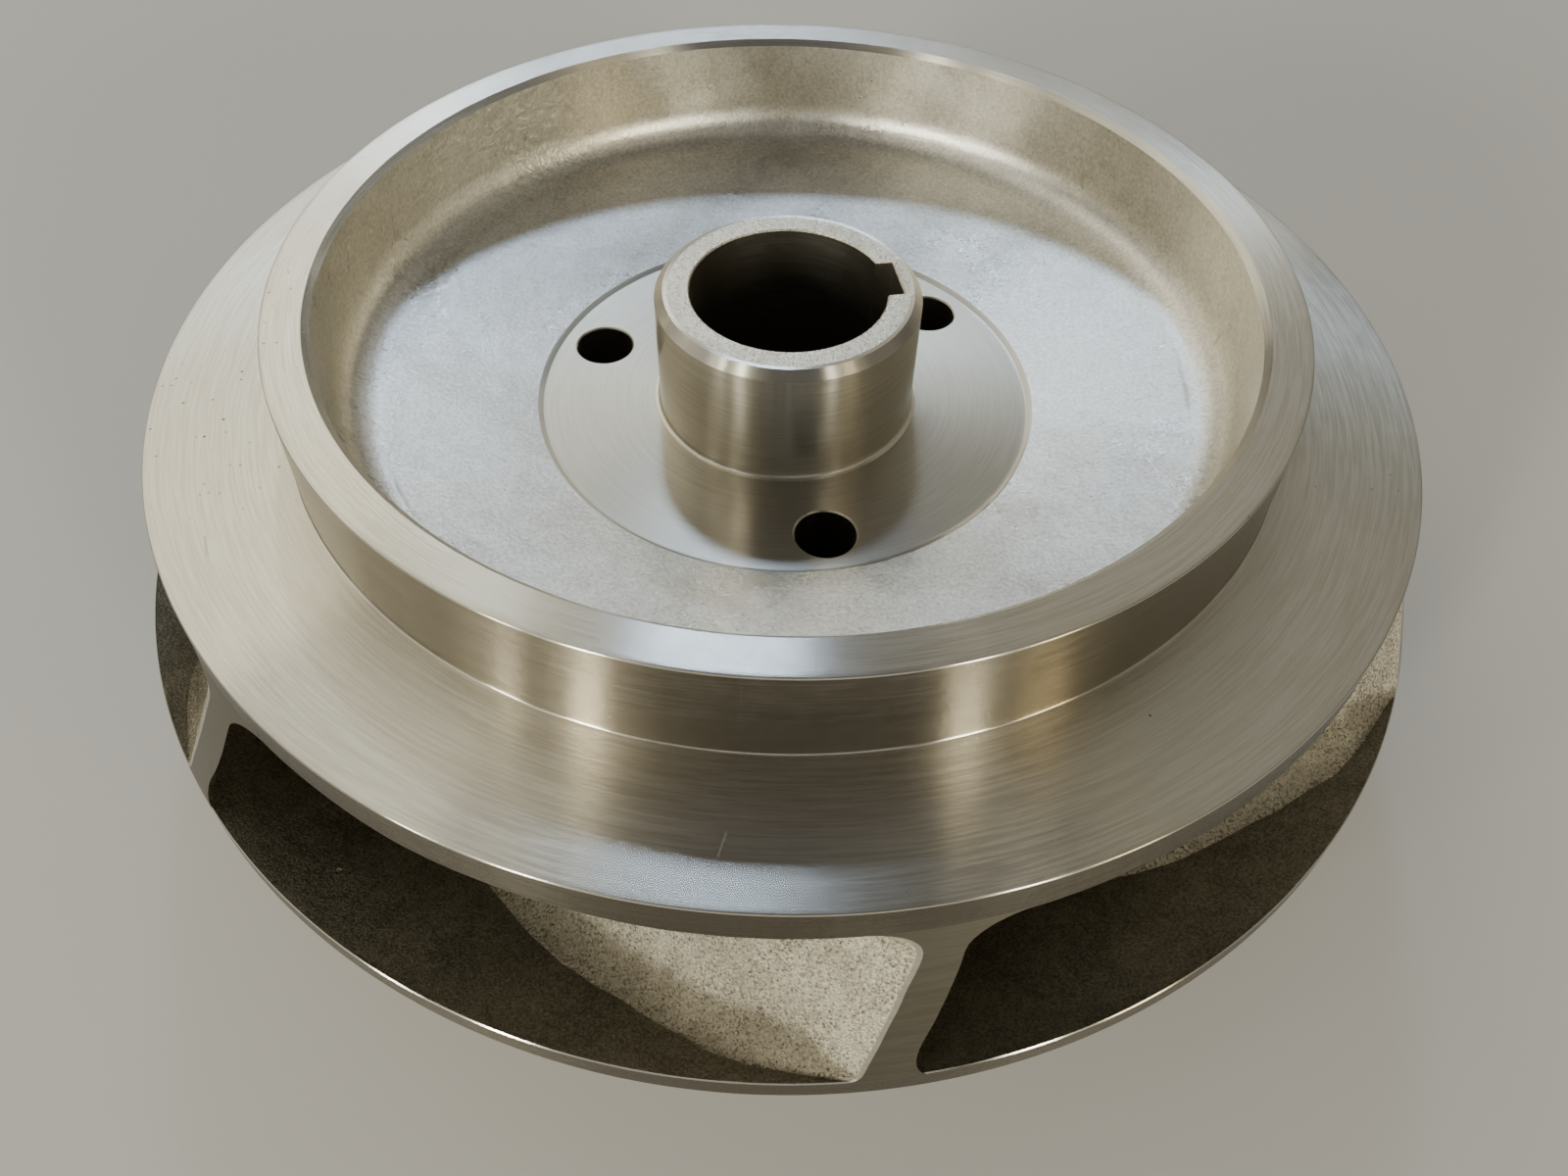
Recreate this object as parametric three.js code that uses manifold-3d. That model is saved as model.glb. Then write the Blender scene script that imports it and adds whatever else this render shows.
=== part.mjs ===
// Closed pump impeller, cast in stainless steel and turned: a keyed hub, a dished back shroud with a
// wear ring, six backward-curved vanes and a front shroud that opens into the suction eye.
// Millimetres, +Z up along the shaft axis, suction side down. The origin is on the axis, at the face
// of the front wear ring that the impeller stands on.

import * as THREE from 'three';
import { mergeVertices } from 'three/addons/utils/BufferGeometryUtils.js';
import Module from 'manifold-3d';

// Back shroud: its rim, its top face and the ring that stands on it
const BACK_RADIUS = 208;
const BACK_EDGE_Z = 140;
const BACK_FACE_Z = 141;
const BACK_RIM_THICKNESS = 12.5;
const REAR_RING_RADIUS = 164;
const REAR_RING_HEIGHT = 33;
const REAR_RING_BORE = 149.6;
const REAR_RING_CHAMFER = 2;
const EDGE_BREAK = 0.6;

// Dish inside the rear ring: root fillet, sloping web, flat pad with the balance holes
const DISH_WALL_RADIUS = 149;
const DISH_FILLET_TOP_Z = 150;
const DISH_FLOOR_RADIUS = 136;
const DISH_FLOOR_Z = 134.6;
const DISH_ROOT_LIFT = 2.2;
const PAD_STEP_RADIUS = 86.2;
const PAD_STEP_Z = 123.2;
const PAD_RADIUS = 84.3;
const PAD_Z = 122;
const HOLE_COUNT = 3;
const HOLE_DIAMETER = 20;
const HOLE_CIRCLE_RADIUS = 69.7;
const HOLE_ANGLE = 41.5;

// Hub with its keyed bore
const HUB_RADIUS = 44;
const HUB_TOP_Z = 165.7;
const HUB_CHAMFER = 2.8;
const SHOULDER_TOP_Z = 96;
const FLARE_TOP_Z = 78;
const NOSE_TOP_Z = 58;
const NOSE_RADIUS = 50;
const NOSE_FACE_Z = 24;
const NOSE_ROUND = 5;
const BORE_RADIUS = 32.5;
const KEYWAY_WIDTH = 18;
const KEYWAY_REACH = 36.9;
const KEYWAY_ANGLE = 11.5;

// Front shroud, eye neck and front wear ring
const FRONT_RADIUS = 225.5;
const FRONT_RIM_TOP_Z = 77;
const FRONT_RIM_THICKNESS = 8.5;
const FRONT_WALL = 9;
const FRONT_LIP_START = 0.12;
const NECK_SPLIT_Z = 44;
const EYE_RADIUS = 139;
const EYE_ROUND = 3;
const FRONT_RING_RADIUS = 164;
const FRONT_RING_SEAT = 150;
const FRONT_RING_HEIGHT = 30;

// Vanes
const VANE_COUNT = 6;
const VANE_THICKNESS = 5.2;
const VANE_NOSE_THICKNESS = 1.6;
const VANE_ROOT_ROUND = 8;
const VANE_ROOT_START = 0.5;
const VANE_NOSE_SHARE = 0.1;
const VANE_TIP_ANGLE = -77.6;
const VANE_TIP_LEAN = -4.6;
const VANE_OVERRUN = 0.06;
const VANE_STREAM_STEPS = 14;
const CAST_GAP = 0.3;

// How a vane runs along the hub wall and along the shroud wall: where it starts as a parameter of
// the wall, how far it winds round the axis, the share of that which is even, and its blade angles
const HUB_RUN = { start: 0.72, wrap: 107, even: 0.875, outletAngle: 25, inletAngle: 43 };
const SHROUD_RUN = { start: 0.8, wrap: 74, even: 0.7, outletAngle: 25, inletAngle: 21 };

// Stations of a vane between the hub wall (0) and the shroud wall (1), close in the root round
const VANE_SPANS = [-0.06, 0, 0.035, 0.08, 0.16, 0.55, 1.06];

// Fineness of the turned pieces
const SEGMENTS = 60;
const DRILL_SEGMENTS = 24;
const TOOL_LENGTH = 220;

const wasm = await Module();
wasm.setup();

const radians = THREE.MathUtils.degToRad;
const lerp = THREE.MathUtils.lerp;

// A point of a profile, by radius and height
function point(r, z) {
  return new THREE.Vector2(r, z);
}

// The two walls of the water passage in the meridional plane. Both run from the outlet (0) to the
// suction side (1).
const hubWall = new THREE.CubicBezierCurve(
  point(BACK_RADIUS, BACK_EDGE_Z - BACK_RIM_THICKNESS),
  point(135, 120),
  point(60, 118),
  point(NOSE_RADIUS, NOSE_FACE_Z + NOSE_ROUND),
);
const shroudWall = new THREE.CubicBezierCurve(
  point(FRONT_RADIUS, FRONT_RIM_TOP_Z),
  point(188, 60),
  point(143, 60),
  point(EYE_RADIUS, EYE_ROUND),
);

// The hollow root of the rear ring, from its bore down to the edge of the dish floor
const rootCurve = new THREE.QuadraticBezierCurve(
  point(DISH_WALL_RADIUS, DISH_FILLET_TOP_Z),
  point(DISH_WALL_RADIUS, DISH_FLOOR_Z + DISH_ROOT_LIFT),
  point(DISH_FLOOR_RADIUS, DISH_FLOOR_Z),
);

// Parameter at which a quantity that falls steadily along a curve reaches a value
function parameterWhere(quantity, value) {
  let low = 0;
  let high = 1;
  for (let step = 0; step < 40; step += 1) {
    const middle = (low + high) / 2;
    if (quantity(middle) > value) low = middle;
    else high = middle;
  }
  return (low + high) / 2;
}

// A point of a curve, moved sideways by an offset
function beside(curve, at, offset) {
  const tangent = curve.getTangent(at);
  return curve.getPoint(at).add(point(-tangent.y, tangent.x).multiplyScalar(offset));
}

// Points from one parameter of a curve to another in equal steps
function along(curve, from, to, steps, offset = 0) {
  const points = [];
  for (let step = 0; step <= steps; step += 1) {
    points.push(beside(curve, lerp(from, to, step / steps), offset));
  }
  return points;
}

// Where the pieces part along the walls
const hubAtRing = parameterWhere((at) => hubWall.getPoint(at).x, DISH_WALL_RADIUS);
const hubAtPad = parameterWhere((at) => hubWall.getPoint(at).x, PAD_STEP_RADIUS);
const hubAtShoulder = parameterWhere((at) => hubWall.getPoint(at).y, SHOULDER_TOP_Z);
const hubAtFlare = parameterWhere((at) => hubWall.getPoint(at).y, FLARE_TOP_Z);
const hubAtNose = parameterWhere((at) => hubWall.getPoint(at).y, NOSE_TOP_Z);
const rootAtFace = parameterWhere((at) => rootCurve.getPoint(at).y, BACK_FACE_Z);
const shroudAtNeck = parameterWhere((at) => shroudWall.getPoint(at).y, NECK_SPLIT_Z);
const backAtNeck = parameterWhere((at) => beside(shroudWall, at, FRONT_WALL).y, NECK_SPLIT_Z);

// The stretches of both walls, each used by the piece behind it and by the room that cuts the vanes
const rimToRing = (offset) => along(hubWall, 0, hubAtRing, 3, offset);
const ringToPad = (offset) => along(hubWall, hubAtRing, hubAtPad, 3, offset);
const padToShoulder = (offset) => along(hubWall, hubAtPad, hubAtShoulder, 1, offset);
const shoulderToFlare = (offset) => along(hubWall, hubAtShoulder, hubAtFlare, 2, offset);
const flareToNose = (offset) => along(hubWall, hubAtFlare, hubAtNose, 2, offset);
const noseToEnd = (offset) => along(hubWall, hubAtNose, 1, 3, offset);
const lipToNeck = (offset) => along(shroudWall, 0, shroudAtNeck, 7, offset);
const neckToEye = (offset) => along(shroudWall, shroudAtNeck, 1, 4, offset);

// Points on a circular arc of a profile
function arc(centre, radius, fromDegrees, toDegrees, steps) {
  const points = [];
  for (let step = 0; step <= steps; step += 1) {
    const angle = radians(lerp(fromDegrees, toDegrees, step / steps));
    points.push(point(centre.x + radius * Math.cos(angle), centre.y + radius * Math.sin(angle)));
  }
  return points;
}

// A geometry with positions only and its shared vertices merged
function bare(geometry) {
  geometry.deleteAttribute('normal');
  geometry.deleteAttribute('uv');
  return mergeVertices(geometry, 1e-4);
}

// A solid of revolution about Z from a closed profile
function turned(profile) {
  const ordered = THREE.ShapeUtils.area(profile) > 0 ? [...profile] : [...profile].reverse();
  ordered.push(ordered[0].clone());
  const geometry = new THREE.LatheGeometry(ordered, SEGMENTS);
  geometry.rotateX(Math.PI / 2);
  return bare(geometry);
}

function toSolid(geometry) {
  return new wasm.Manifold(new wasm.Mesh({
    numProp: 3,
    vertProperties: Float32Array.from(geometry.attributes.position.array),
    triVerts: Uint32Array.from(geometry.index.array),
  }));
}

function toGeometry(solid) {
  const mesh = solid.getMesh();
  const geometry = new THREE.BufferGeometry();
  geometry.setAttribute('position', new THREE.BufferAttribute(mesh.vertProperties, 3));
  geometry.setIndex(new THREE.BufferAttribute(mesh.triVerts, 1));
  return geometry;
}

function cut(geometry, tools) {
  let solid = toSolid(geometry);
  for (const tool of tools) {
    solid = solid.subtract(toSolid(tool));
  }
  return toGeometry(solid);
}

// Solid that leaves the keyway when it is taken out of the hub
function keyway() {
  const tool = new THREE.BoxGeometry(KEYWAY_REACH, KEYWAY_WIDTH, TOOL_LENGTH);
  tool.translate(KEYWAY_REACH / 2, 0, TOOL_LENGTH / 2);
  tool.rotateZ(radians(KEYWAY_ANGLE));
  return bare(tool);
}

// Solids that leave the balance holes
function balanceDrills() {
  const drills = [];
  for (let index = 0; index < HOLE_COUNT; index += 1) {
    const drill = new THREE.CylinderGeometry(HOLE_DIAMETER / 2, HOLE_DIAMETER / 2, TOOL_LENGTH, DRILL_SEGMENTS);
    drill.rotateX(Math.PI / 2);
    drill.translate(HOLE_CIRCLE_RADIUS, 0, TOOL_LENGTH / 2);
    drill.rotateZ(radians(HOLE_ANGLE + (360 / HOLE_COUNT) * index));
    drills.push(bare(drill));
  }
  return drills;
}

// Hub: the turned and keyed sleeve, and the shoulder, the flare and the nose that are cast round it
function hubSleeve() {
  const shape = turned([
    point(BORE_RADIUS, NOSE_FACE_Z),
    point(HUB_RADIUS, NOSE_FACE_Z),
    point(HUB_RADIUS, HUB_TOP_Z - HUB_CHAMFER),
    point(HUB_RADIUS - HUB_CHAMFER, HUB_TOP_Z),
    point(BORE_RADIUS, HUB_TOP_Z),
  ]);
  return cut(shape, [keyway()]);
}

function hubShoulder() {
  const shape = turned([
    point(HUB_RADIUS, SHOULDER_TOP_Z),
    ...shoulderToFlare(),
    point(HUB_RADIUS, FLARE_TOP_Z),
  ]);
  return cut(shape, balanceDrills());
}

function hubFlare() {
  const shape = turned([
    point(HUB_RADIUS, FLARE_TOP_Z),
    ...flareToNose(),
    point(HUB_RADIUS, NOSE_TOP_Z),
  ]);
  return cut(shape, balanceDrills());
}

function hubNose() {
  const round = point(NOSE_RADIUS - NOSE_ROUND, NOSE_FACE_Z + NOSE_ROUND);
  return turned([
    point(HUB_RADIUS, NOSE_TOP_Z),
    ...noseToEnd(),
    ...arc(round, NOSE_ROUND, 0, -90, 3).slice(1),
    point(HUB_RADIUS, NOSE_FACE_Z),
  ]);
}

// Back of the impeller, from the hub outwards
function balancePad() {
  const shape = turned([
    point(HUB_RADIUS, PAD_Z),
    point(PAD_RADIUS, PAD_Z),
    point(PAD_STEP_RADIUS, PAD_STEP_Z),
    ...padToShoulder(),
    point(HUB_RADIUS, SHOULDER_TOP_Z),
  ]);
  return cut(shape, balanceDrills());
}

function dishWeb() {
  return turned([
    point(PAD_STEP_RADIUS, PAD_STEP_Z),
    ...along(rootCurve, 1, rootAtFace, 3),
    point(DISH_WALL_RADIUS, BACK_FACE_Z),
    ...ringToPad(),
  ]);
}

function backShroud() {
  return turned([
    point(DISH_WALL_RADIUS, BACK_FACE_Z),
    point(REAR_RING_RADIUS, BACK_FACE_Z),
    point(BACK_RADIUS - EDGE_BREAK, BACK_EDGE_Z),
    point(BACK_RADIUS, BACK_EDGE_Z - EDGE_BREAK),
    ...rimToRing(),
  ]);
}

function rearWearRing() {
  const top = BACK_FACE_Z + REAR_RING_HEIGHT;
  return turned([
    point(REAR_RING_RADIUS, BACK_FACE_Z),
    point(REAR_RING_RADIUS, top - EDGE_BREAK),
    point(REAR_RING_RADIUS - EDGE_BREAK, top),
    point(REAR_RING_BORE + REAR_RING_CHAMFER, top),
    point(REAR_RING_BORE, top - REAR_RING_CHAMFER),
    ...along(rootCurve, 0, rootAtFace, 2),
  ]);
}

// Front of the impeller: shroud, neck and ring
function frontShroud() {
  return turned([
    point(FRONT_RADIUS, FRONT_RIM_TOP_Z - FRONT_RIM_THICKNESS),
    ...lipToNeck(),
    ...along(shroudWall, backAtNeck, FRONT_LIP_START, 5, FRONT_WALL),
  ]);
}

function eyeNeck() {
  return turned([
    beside(shroudWall, backAtNeck, FRONT_WALL),
    ...neckToEye(),
    point(EYE_RADIUS + EYE_ROUND, 0),
    point(FRONT_RING_SEAT, 0),
    point(FRONT_RING_SEAT, FRONT_RING_HEIGHT),
  ]);
}

function frontWearRing() {
  return turned([
    point(FRONT_RING_SEAT, 0),
    point(FRONT_RING_RADIUS - EDGE_BREAK, 0),
    point(FRONT_RING_RADIUS, EDGE_BREAK),
    point(FRONT_RING_RADIUS, FRONT_RING_HEIGHT),
    point(FRONT_RING_SEAT, FRONT_RING_HEIGHT),
  ]);
}

// The room between the two shrouds, short of both walls by the casting gap and closed at the outlet
// by the cone that the vane tips are turned to
function passage() {
  const hubSide = [rimToRing, ringToPad, padToShoulder, shoulderToFlare, flareToNose, noseToEnd];
  const shroudSide = [lipToNeck, neckToEye];
  const walls = [
    ...hubSide.flatMap((stretch) => stretch(CAST_GAP)),
    ...shroudSide.flatMap((stretch) => stretch(-CAST_GAP)).reverse(),
  ];
  return turned(walls.filter((place, index) => index === 0 || place.distanceTo(walls[index - 1]) > 0.01));
}

// A vane is a box whose long side is laid along the flow and whose height spans the passage. Stream
// stations run from the leading edge (0) to just past the tip (1), span stations from wall to wall.
function vaneCamber(stream, span) {
  const start = lerp(HUB_RUN.start, SHROUD_RUN.start, span);
  const back = (1 - stream) * (start + VANE_OVERRUN) - VANE_OVERRUN;
  const onHub = hubWall.getPoint(back);
  const onShroud = shroudWall.getPoint(back);
  const inward = back / start;
  const even = lerp(HUB_RUN.even, SHROUD_RUN.even, span);
  const wound = even * inward + (1 - even) * inward * Math.abs(inward);
  const turn = lerp(HUB_RUN.wrap, SHROUD_RUN.wrap, span) * wound;
  const fromHub = span * onHub.distanceTo(onShroud);
  const place = onHub.lerp(onShroud, span);
  const angle = radians(VANE_TIP_ANGLE + VANE_TIP_LEAN * span - turn);
  return { r: place.x, z: place.y, angle, inward, fromHub };
}

// What the hollow round at the hub wall adds to one side of a vane
function rootRound(fromHub) {
  const rest = Math.max(0, VANE_ROOT_ROUND - Math.max(fromHub, VANE_ROOT_START));
  return VANE_ROOT_ROUND - Math.sqrt(VANE_ROOT_ROUND ** 2 - rest ** 2);
}

// Width along the circumference, thin and without the round at the leading edge
function vaneWidth(inward, span, fromHub) {
  const body = Math.min(1, Math.max(0, (1 - inward) / VANE_NOSE_SHARE));
  const thickness = lerp(VANE_NOSE_THICKNESS, VANE_THICKNESS, Math.sqrt(body));
  const hubAngle = lerp(HUB_RUN.outletAngle, HUB_RUN.inletAngle, Math.max(0, inward));
  const shroudAngle = lerp(SHROUD_RUN.outletAngle, SHROUD_RUN.inletAngle, Math.max(0, inward));
  return (thickness + 2 * rootRound(fromHub) * body) / Math.sin(radians(lerp(hubAngle, shroudAngle, span)));
}

function vane() {
  const rows = VANE_SPANS.length - 1;
  const box = new THREE.BoxGeometry(1, 1, 1, VANE_STREAM_STEPS, rows, 1);
  const position = box.attributes.position;
  for (let index = 0; index < position.count; index += 1) {
    const stream = Math.sin((position.getX(index) + 0.5) * Math.PI * 0.5);
    const span = VANE_SPANS[Math.round((0.5 - position.getY(index)) * rows)];
    const camber = vaneCamber(stream, span);
    const width = vaneWidth(camber.inward, span, camber.fromHub);
    const angle = camber.angle - (position.getZ(index) * width) / camber.r;
    position.setXYZ(index, camber.r * Math.cos(angle), camber.r * Math.sin(angle), camber.z);
  }
  return toGeometry(toSolid(bare(box)).intersect(toSolid(passage())));
}

// Finishes
function steel(color, roughness) {
  return new THREE.MeshStandardMaterial({ color, roughness, metalness: 1 });
}

const impeller = new THREE.Group();

function addPiece(name, geometry, material) {
  const mesh = new THREE.Mesh(geometry, material);
  mesh.name = name;
  impeller.add(mesh);
  return mesh;
}

addPiece('hub_sleeve', hubSleeve(), steel(0xb5b2a8, 0.25));
addPiece('hub_shoulder', hubShoulder(), steel(0x8b8578, 0.6));
addPiece('hub_flare', hubFlare(), steel(0x8b8578, 0.6));
addPiece('hub_nose', hubNose(), steel(0xa8a498, 0.35));
addPiece('balance_pad', balancePad(), steel(0xb4b3ac, 0.3));
addPiece('dish_web', dishWeb(), steel(0xb9c0c8, 0.42));
addPiece('back_shroud', backShroud(), steel(0xb9b3a2, 0.3));
addPiece('rear_wear_ring', rearWearRing(), steel(0xb8b5ab, 0.22));
addPiece('front_shroud', frontShroud(), steel(0x6f695c, 0.6));
addPiece('eye_neck', eyeNeck(), steel(0x8b8578, 0.55));
addPiece('front_wear_ring', frontWearRing(), steel(0xb8b5ab, 0.25));

const vaneGeometry = vane();
for (let index = 0; index < VANE_COUNT; index += 1) {
  const blade = addPiece(`vane_${index + 1}`, vaneGeometry, steel(0x9a9484, 0.65));
  blade.rotation.z = radians((360 / VANE_COUNT) * index);
}

export default impeller;
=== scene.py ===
"""Looks of a cast and turned pump impeller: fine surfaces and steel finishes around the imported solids.

Lengths are in metres in the solids' own frame: +Z up along the shaft, suction side down, and the origin
at the face that the impeller stands on. Profiles are arrays of (radius, height) points.
"""

import math

import bpy
import numpy as np
from mathutils import Matrix, Vector


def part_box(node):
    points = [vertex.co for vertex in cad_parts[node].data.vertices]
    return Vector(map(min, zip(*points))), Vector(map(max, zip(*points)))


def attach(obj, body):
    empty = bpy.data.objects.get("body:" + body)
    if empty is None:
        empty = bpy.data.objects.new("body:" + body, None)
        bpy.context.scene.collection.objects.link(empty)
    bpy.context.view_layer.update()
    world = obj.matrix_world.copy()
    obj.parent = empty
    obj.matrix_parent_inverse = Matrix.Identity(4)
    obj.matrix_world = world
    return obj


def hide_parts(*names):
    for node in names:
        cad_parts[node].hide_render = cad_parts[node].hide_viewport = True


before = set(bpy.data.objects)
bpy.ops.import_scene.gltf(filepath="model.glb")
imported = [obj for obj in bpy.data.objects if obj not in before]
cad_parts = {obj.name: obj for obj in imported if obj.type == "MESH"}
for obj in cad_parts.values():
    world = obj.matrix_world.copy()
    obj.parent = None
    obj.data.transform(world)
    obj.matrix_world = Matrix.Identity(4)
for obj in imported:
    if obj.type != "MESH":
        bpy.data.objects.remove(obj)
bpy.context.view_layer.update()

bl_info = {
    "name": "Pump Impeller Finish",
    "version": (1, 0, 0),
    "blender": (4, 5, 0),
    "location": "View3D > Sidebar > Impeller",
    "description": "Fine surfaces and steel finishes of a closed pump impeller",
    "category": "Object",
}

BODY = "root"
MM = 0.001

# Steps round the axis, and their angles
TURNS = 480
ROUND = np.linspace(0.0, 2.0 * np.pi, TURNS, endpoint=False)

# Samples along a wall's curve: to find a place on it, to read heights off it, and to offset it
PLACE_SAMPLES = 4001
HEIGHT_SAMPLES = 2001
OFFSET_SAMPLES = 801

# Wavelengths of a cast wall's swell, and its height on the ground root of the ring
LONG_SWELL = 45.0 * MM
SHORT_SWELL = 12.0 * MM
ROOT_SWELL = 0.05 * MM

# Turn of the surface from which an edge is sharp
SHARP_ANGLE = math.radians(32.0)

# Angle from the keyway's middle up to which its outline is worked out
KEYWAY_SIDE_LIMIT = 1.2

# Balance holes, and the steps on each side of one that its rows of points take up
HOLES = 3
HALF_GAP = 18

# How much of the height goes into the second coordinate of a corner
HEIGHT_SHARE = 0.37

# The floor's sides, how far it lies under the impeller, and the camera's sensor in millimetres
FLOOR_SIDES = 128
FLOOR_DROP = 0.2 * MM
SENSOR_WIDTH = 36.0

# Finishes that a face can have, by their place in the list of finishes
TURNED, RIM, CAST, GROUND, BORE, LAND, BLASTED, VANE, PAD, WALL = range(10)


def reach(node):
    """Outer radius, lowest and highest point of a solid."""
    lowest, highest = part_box(node)
    return highest.x, lowest.z, highest.z


BACK_RADIUS, _, BACK_FACE_Z = reach("back_shroud")
REAR_RING_RADIUS, _, REAR_RING_TOP_Z = reach("rear_wear_ring")
DISH_WALL_RADIUS = reach("dish_web")[0]
PAD_STEP_RADIUS, PAD_FOOT_Z, PAD_STEP_Z = reach("balance_pad")
HUB_RADIUS, HUB_FOOT_Z, HUB_TOP_Z = reach("hub_sleeve")
_, NOSE_FOOT_Z, NOSE_TOP_Z = reach("hub_nose")
FRONT_RADIUS, NECK_TOP_Z, FRONT_RIM_TOP_Z = reach("front_shroud")
FRONT_RING_RADIUS, _, FRONT_RING_TOP_Z = reach("front_wear_ring")


def number(name, description, default, **settings):
    return bpy.props.FloatProperty(name=name, description=description, default=default, **settings)


def length(name, description, default):
    return number(name, description, default, unit="LENGTH")


def angle(name, description, degrees):
    return number(name, description, math.radians(degrees), subtype="ANGLE", unit="ROTATION")


def share(name, description, default):
    return number(name, description, default, min=0.0, max=1.0, subtype="FACTOR")


def colour(name, description, default):
    return bpy.props.FloatVectorProperty(
        name=name, description=description, default=default, size=3, min=0.0, max=1.0, subtype="COLOR"
    )


class ImpellerSizes(bpy.types.PropertyGroup):
    """Sizes of the turned and cast forms that the solids' boxes don't give."""

    back_edge_drop: length("Back face fall", "Fall of the turned back face from ring to rim", 1.0 * MM)
    rim_thickness: length("Rim thickness", "Width of the back shroud's turned rim", 12.5 * MM)
    ring_bore: length("Ring bore", "Inner radius of the rear ring below its chamfer", 149.6 * MM)
    ring_chamfer: length("Ring chamfer", "Chamfer inside the rear ring's top face", 2.0 * MM)
    root_top: length("Root height", "Height at which the ring's root fillet starts", 150.0 * MM)
    floor_edge: length("Dish floor edge", "Radius at which the root fillet ends", 136.0 * MM)
    floor_height: length("Dish floor height", "Height of the dish floor at its edge", 134.6 * MM)
    pad_radius: length("Pad radius", "Radius of the flat pad around the hub", 84.3 * MM)
    pad_height: length("Pad height", "Height of the flat pad", 122.0 * MM)
    hole_radius: length("Balance hole radius", "Radius of a balance hole", 10.0 * MM)
    hole_circle: length("Balance hole circle", "Radius of the circle of the balance holes", 69.7 * MM)
    hole_angle: angle("Balance hole angle", "Place of the first balance hole round the axis", 41.5)
    bore_radius: length("Bore radius", "Radius of the shaft bore", 32.5 * MM)
    keyway_width: length("Keyway width", "Width of the keyway", 18.0 * MM)
    keyway_reach: length("Keyway reach", "Distance of the keyway's floor from the axis", 36.9 * MM)
    keyway_angle: angle("Keyway angle", "Direction of the keyway round the axis", 11.5)
    hub_chamfer: length("Hub chamfer", "Chamfer on the hub's end face", 2.8 * MM)
    nose_radius: length("Nose radius", "Radius of the hub's nose in the eye", 50.0 * MM)
    nose_round: length("Nose round", "Round on the hub's nose", 5.0 * MM)
    eye_radius: length("Eye radius", "Radius of the suction eye", 139.0 * MM)
    eye_round: length("Eye round", "Round at the mouth of the eye", 3.0 * MM)
    ring_seat: length("Front ring seat", "Inner radius of the front wear ring", 150.0 * MM)
    front_rim: length("Front rim", "Width of the front shroud's turned rim", 8.5 * MM)
    front_wall: length("Front wall", "Thickness of the front shroud", 9.0 * MM)
    edge_break: length("Edge break", "Small bevel on turned edges", 0.6 * MM)
    vane_thickness: length("Vane thickness", "Thickness of a vane", 5.2 * MM)
    vane_root_round: length("Vane root round", "Fillet between a vane and the back shroud", 8.0 * MM)
    vane_edge_break: length("Vane edge break", "Bevel between a vane's face and its tip", 0.4 * MM)
    vane_tip_angle: angle("Vane tip angle", "Direction of the first vane's tip at the back shroud", -77.6)
    vane_tip_lean: angle("Vane tip lean", "Turn of the tip from the back to the front shroud", -4.6)
    cast_unevenness: length("Cast unevenness", "Swell of the cast walls", 0.25 * MM)


class ImpellerFinish(bpy.types.PropertyGroup):
    """Colours and glosses of the steel."""

    turned_colour: colour("Turned steel", "Colour of the turned faces", (0.64, 0.61, 0.53))
    turned_gloss: share("Turned roughness", "Roughness of the turned faces", 0.21)
    ground_colour: colour("Ground steel", "Colour of the ground dish", (0.69, 0.67, 0.605))
    ground_gloss: share("Ground roughness", "Roughness of the ground dish", 0.29)
    cast_colour: colour("Cast steel", "Colour of the sand-cast skin", (0.42, 0.395, 0.325))
    cast_gloss: share("Cast roughness", "Roughness of the sand-cast skin", 0.42)
    floor_colour: colour("Floor", "Colour of the studio floor", (0.62, 0.61, 0.59))


def smooth_step(edge0, edge1, value):
    """0 before edge0, 1 after edge1, and 3t^2 - 2t^3 between them."""
    t = np.clip((value - edge0) / (edge1 - edge0), 0.0, 1.0)
    return t * t * (3.0 - 2.0 * t)


def line(start, end, steps=1):
    """Points in equal steps from start to end."""
    share_of = np.linspace(0.0, 1.0, steps + 1)[:, None]
    return np.asarray(start, float) * (1.0 - share_of) + np.asarray(end, float) * share_of


def polar(radius, turn, *height):
    """Points (r cos a, r sin a) at a radius and a turn about the axis, and at a height if it is given."""
    return np.stack([radius * np.cos(turn), radius * np.sin(turn), *height], -1)


def bezier(controls, at):
    """Cubic Bezier: the Bernstein sum of four control points at the given parameters."""
    p0, p1, p2, p3 = (np.asarray(point, float) for point in controls)
    t = np.asarray(at, float)[..., None]
    return (1 - t) ** 3 * p0 + 3 * (1 - t) ** 2 * t * p1 + 3 * (1 - t) * t**2 * p2 + t**3 * p3


def conic(start, corner, end, steps):
    """Quadratic Bezier from start to end, drawn towards the corner."""
    t = np.linspace(0.0, 1.0, steps + 1)[:, None]
    return (1 - t) ** 2 * np.asarray(start) + 2 * (1 - t) * t * np.asarray(corner) + t**2 * np.asarray(end)


def sideways(points, offset):
    """Points of a profile moved by an offset to the left of their direction, by (-dy, dx)."""
    direction = np.gradient(points, axis=0)
    direction /= np.linalg.norm(direction, axis=1, keepdims=True)
    return points + offset * np.column_stack([-direction[:, 1], direction[:, 0]])


def swell(points, seed, wavelength, waves=28):
    """A smooth random field of about unit height at points (..., 3): a sum of plane waves with random
    directions, phases and lengths near the given wavelength."""
    rng = np.random.default_rng(seed)
    directions = rng.normal(size=(waves, 3))
    directions /= np.linalg.norm(directions, axis=1, keepdims=True)
    rates = 2.0 * np.pi / (wavelength * rng.uniform(0.7, 1.5, waves))
    phases = rng.uniform(0.0, 2.0 * np.pi, waves)
    flat = points.reshape(-1, 3)
    total = np.zeros(len(flat))
    for direction, rate, phase in zip(directions, rates, phases):
        total += np.sin(flat @ direction * rate + phase)
    return (total / math.sqrt(waves / 2.0)).reshape(points.shape[:-1])


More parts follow.
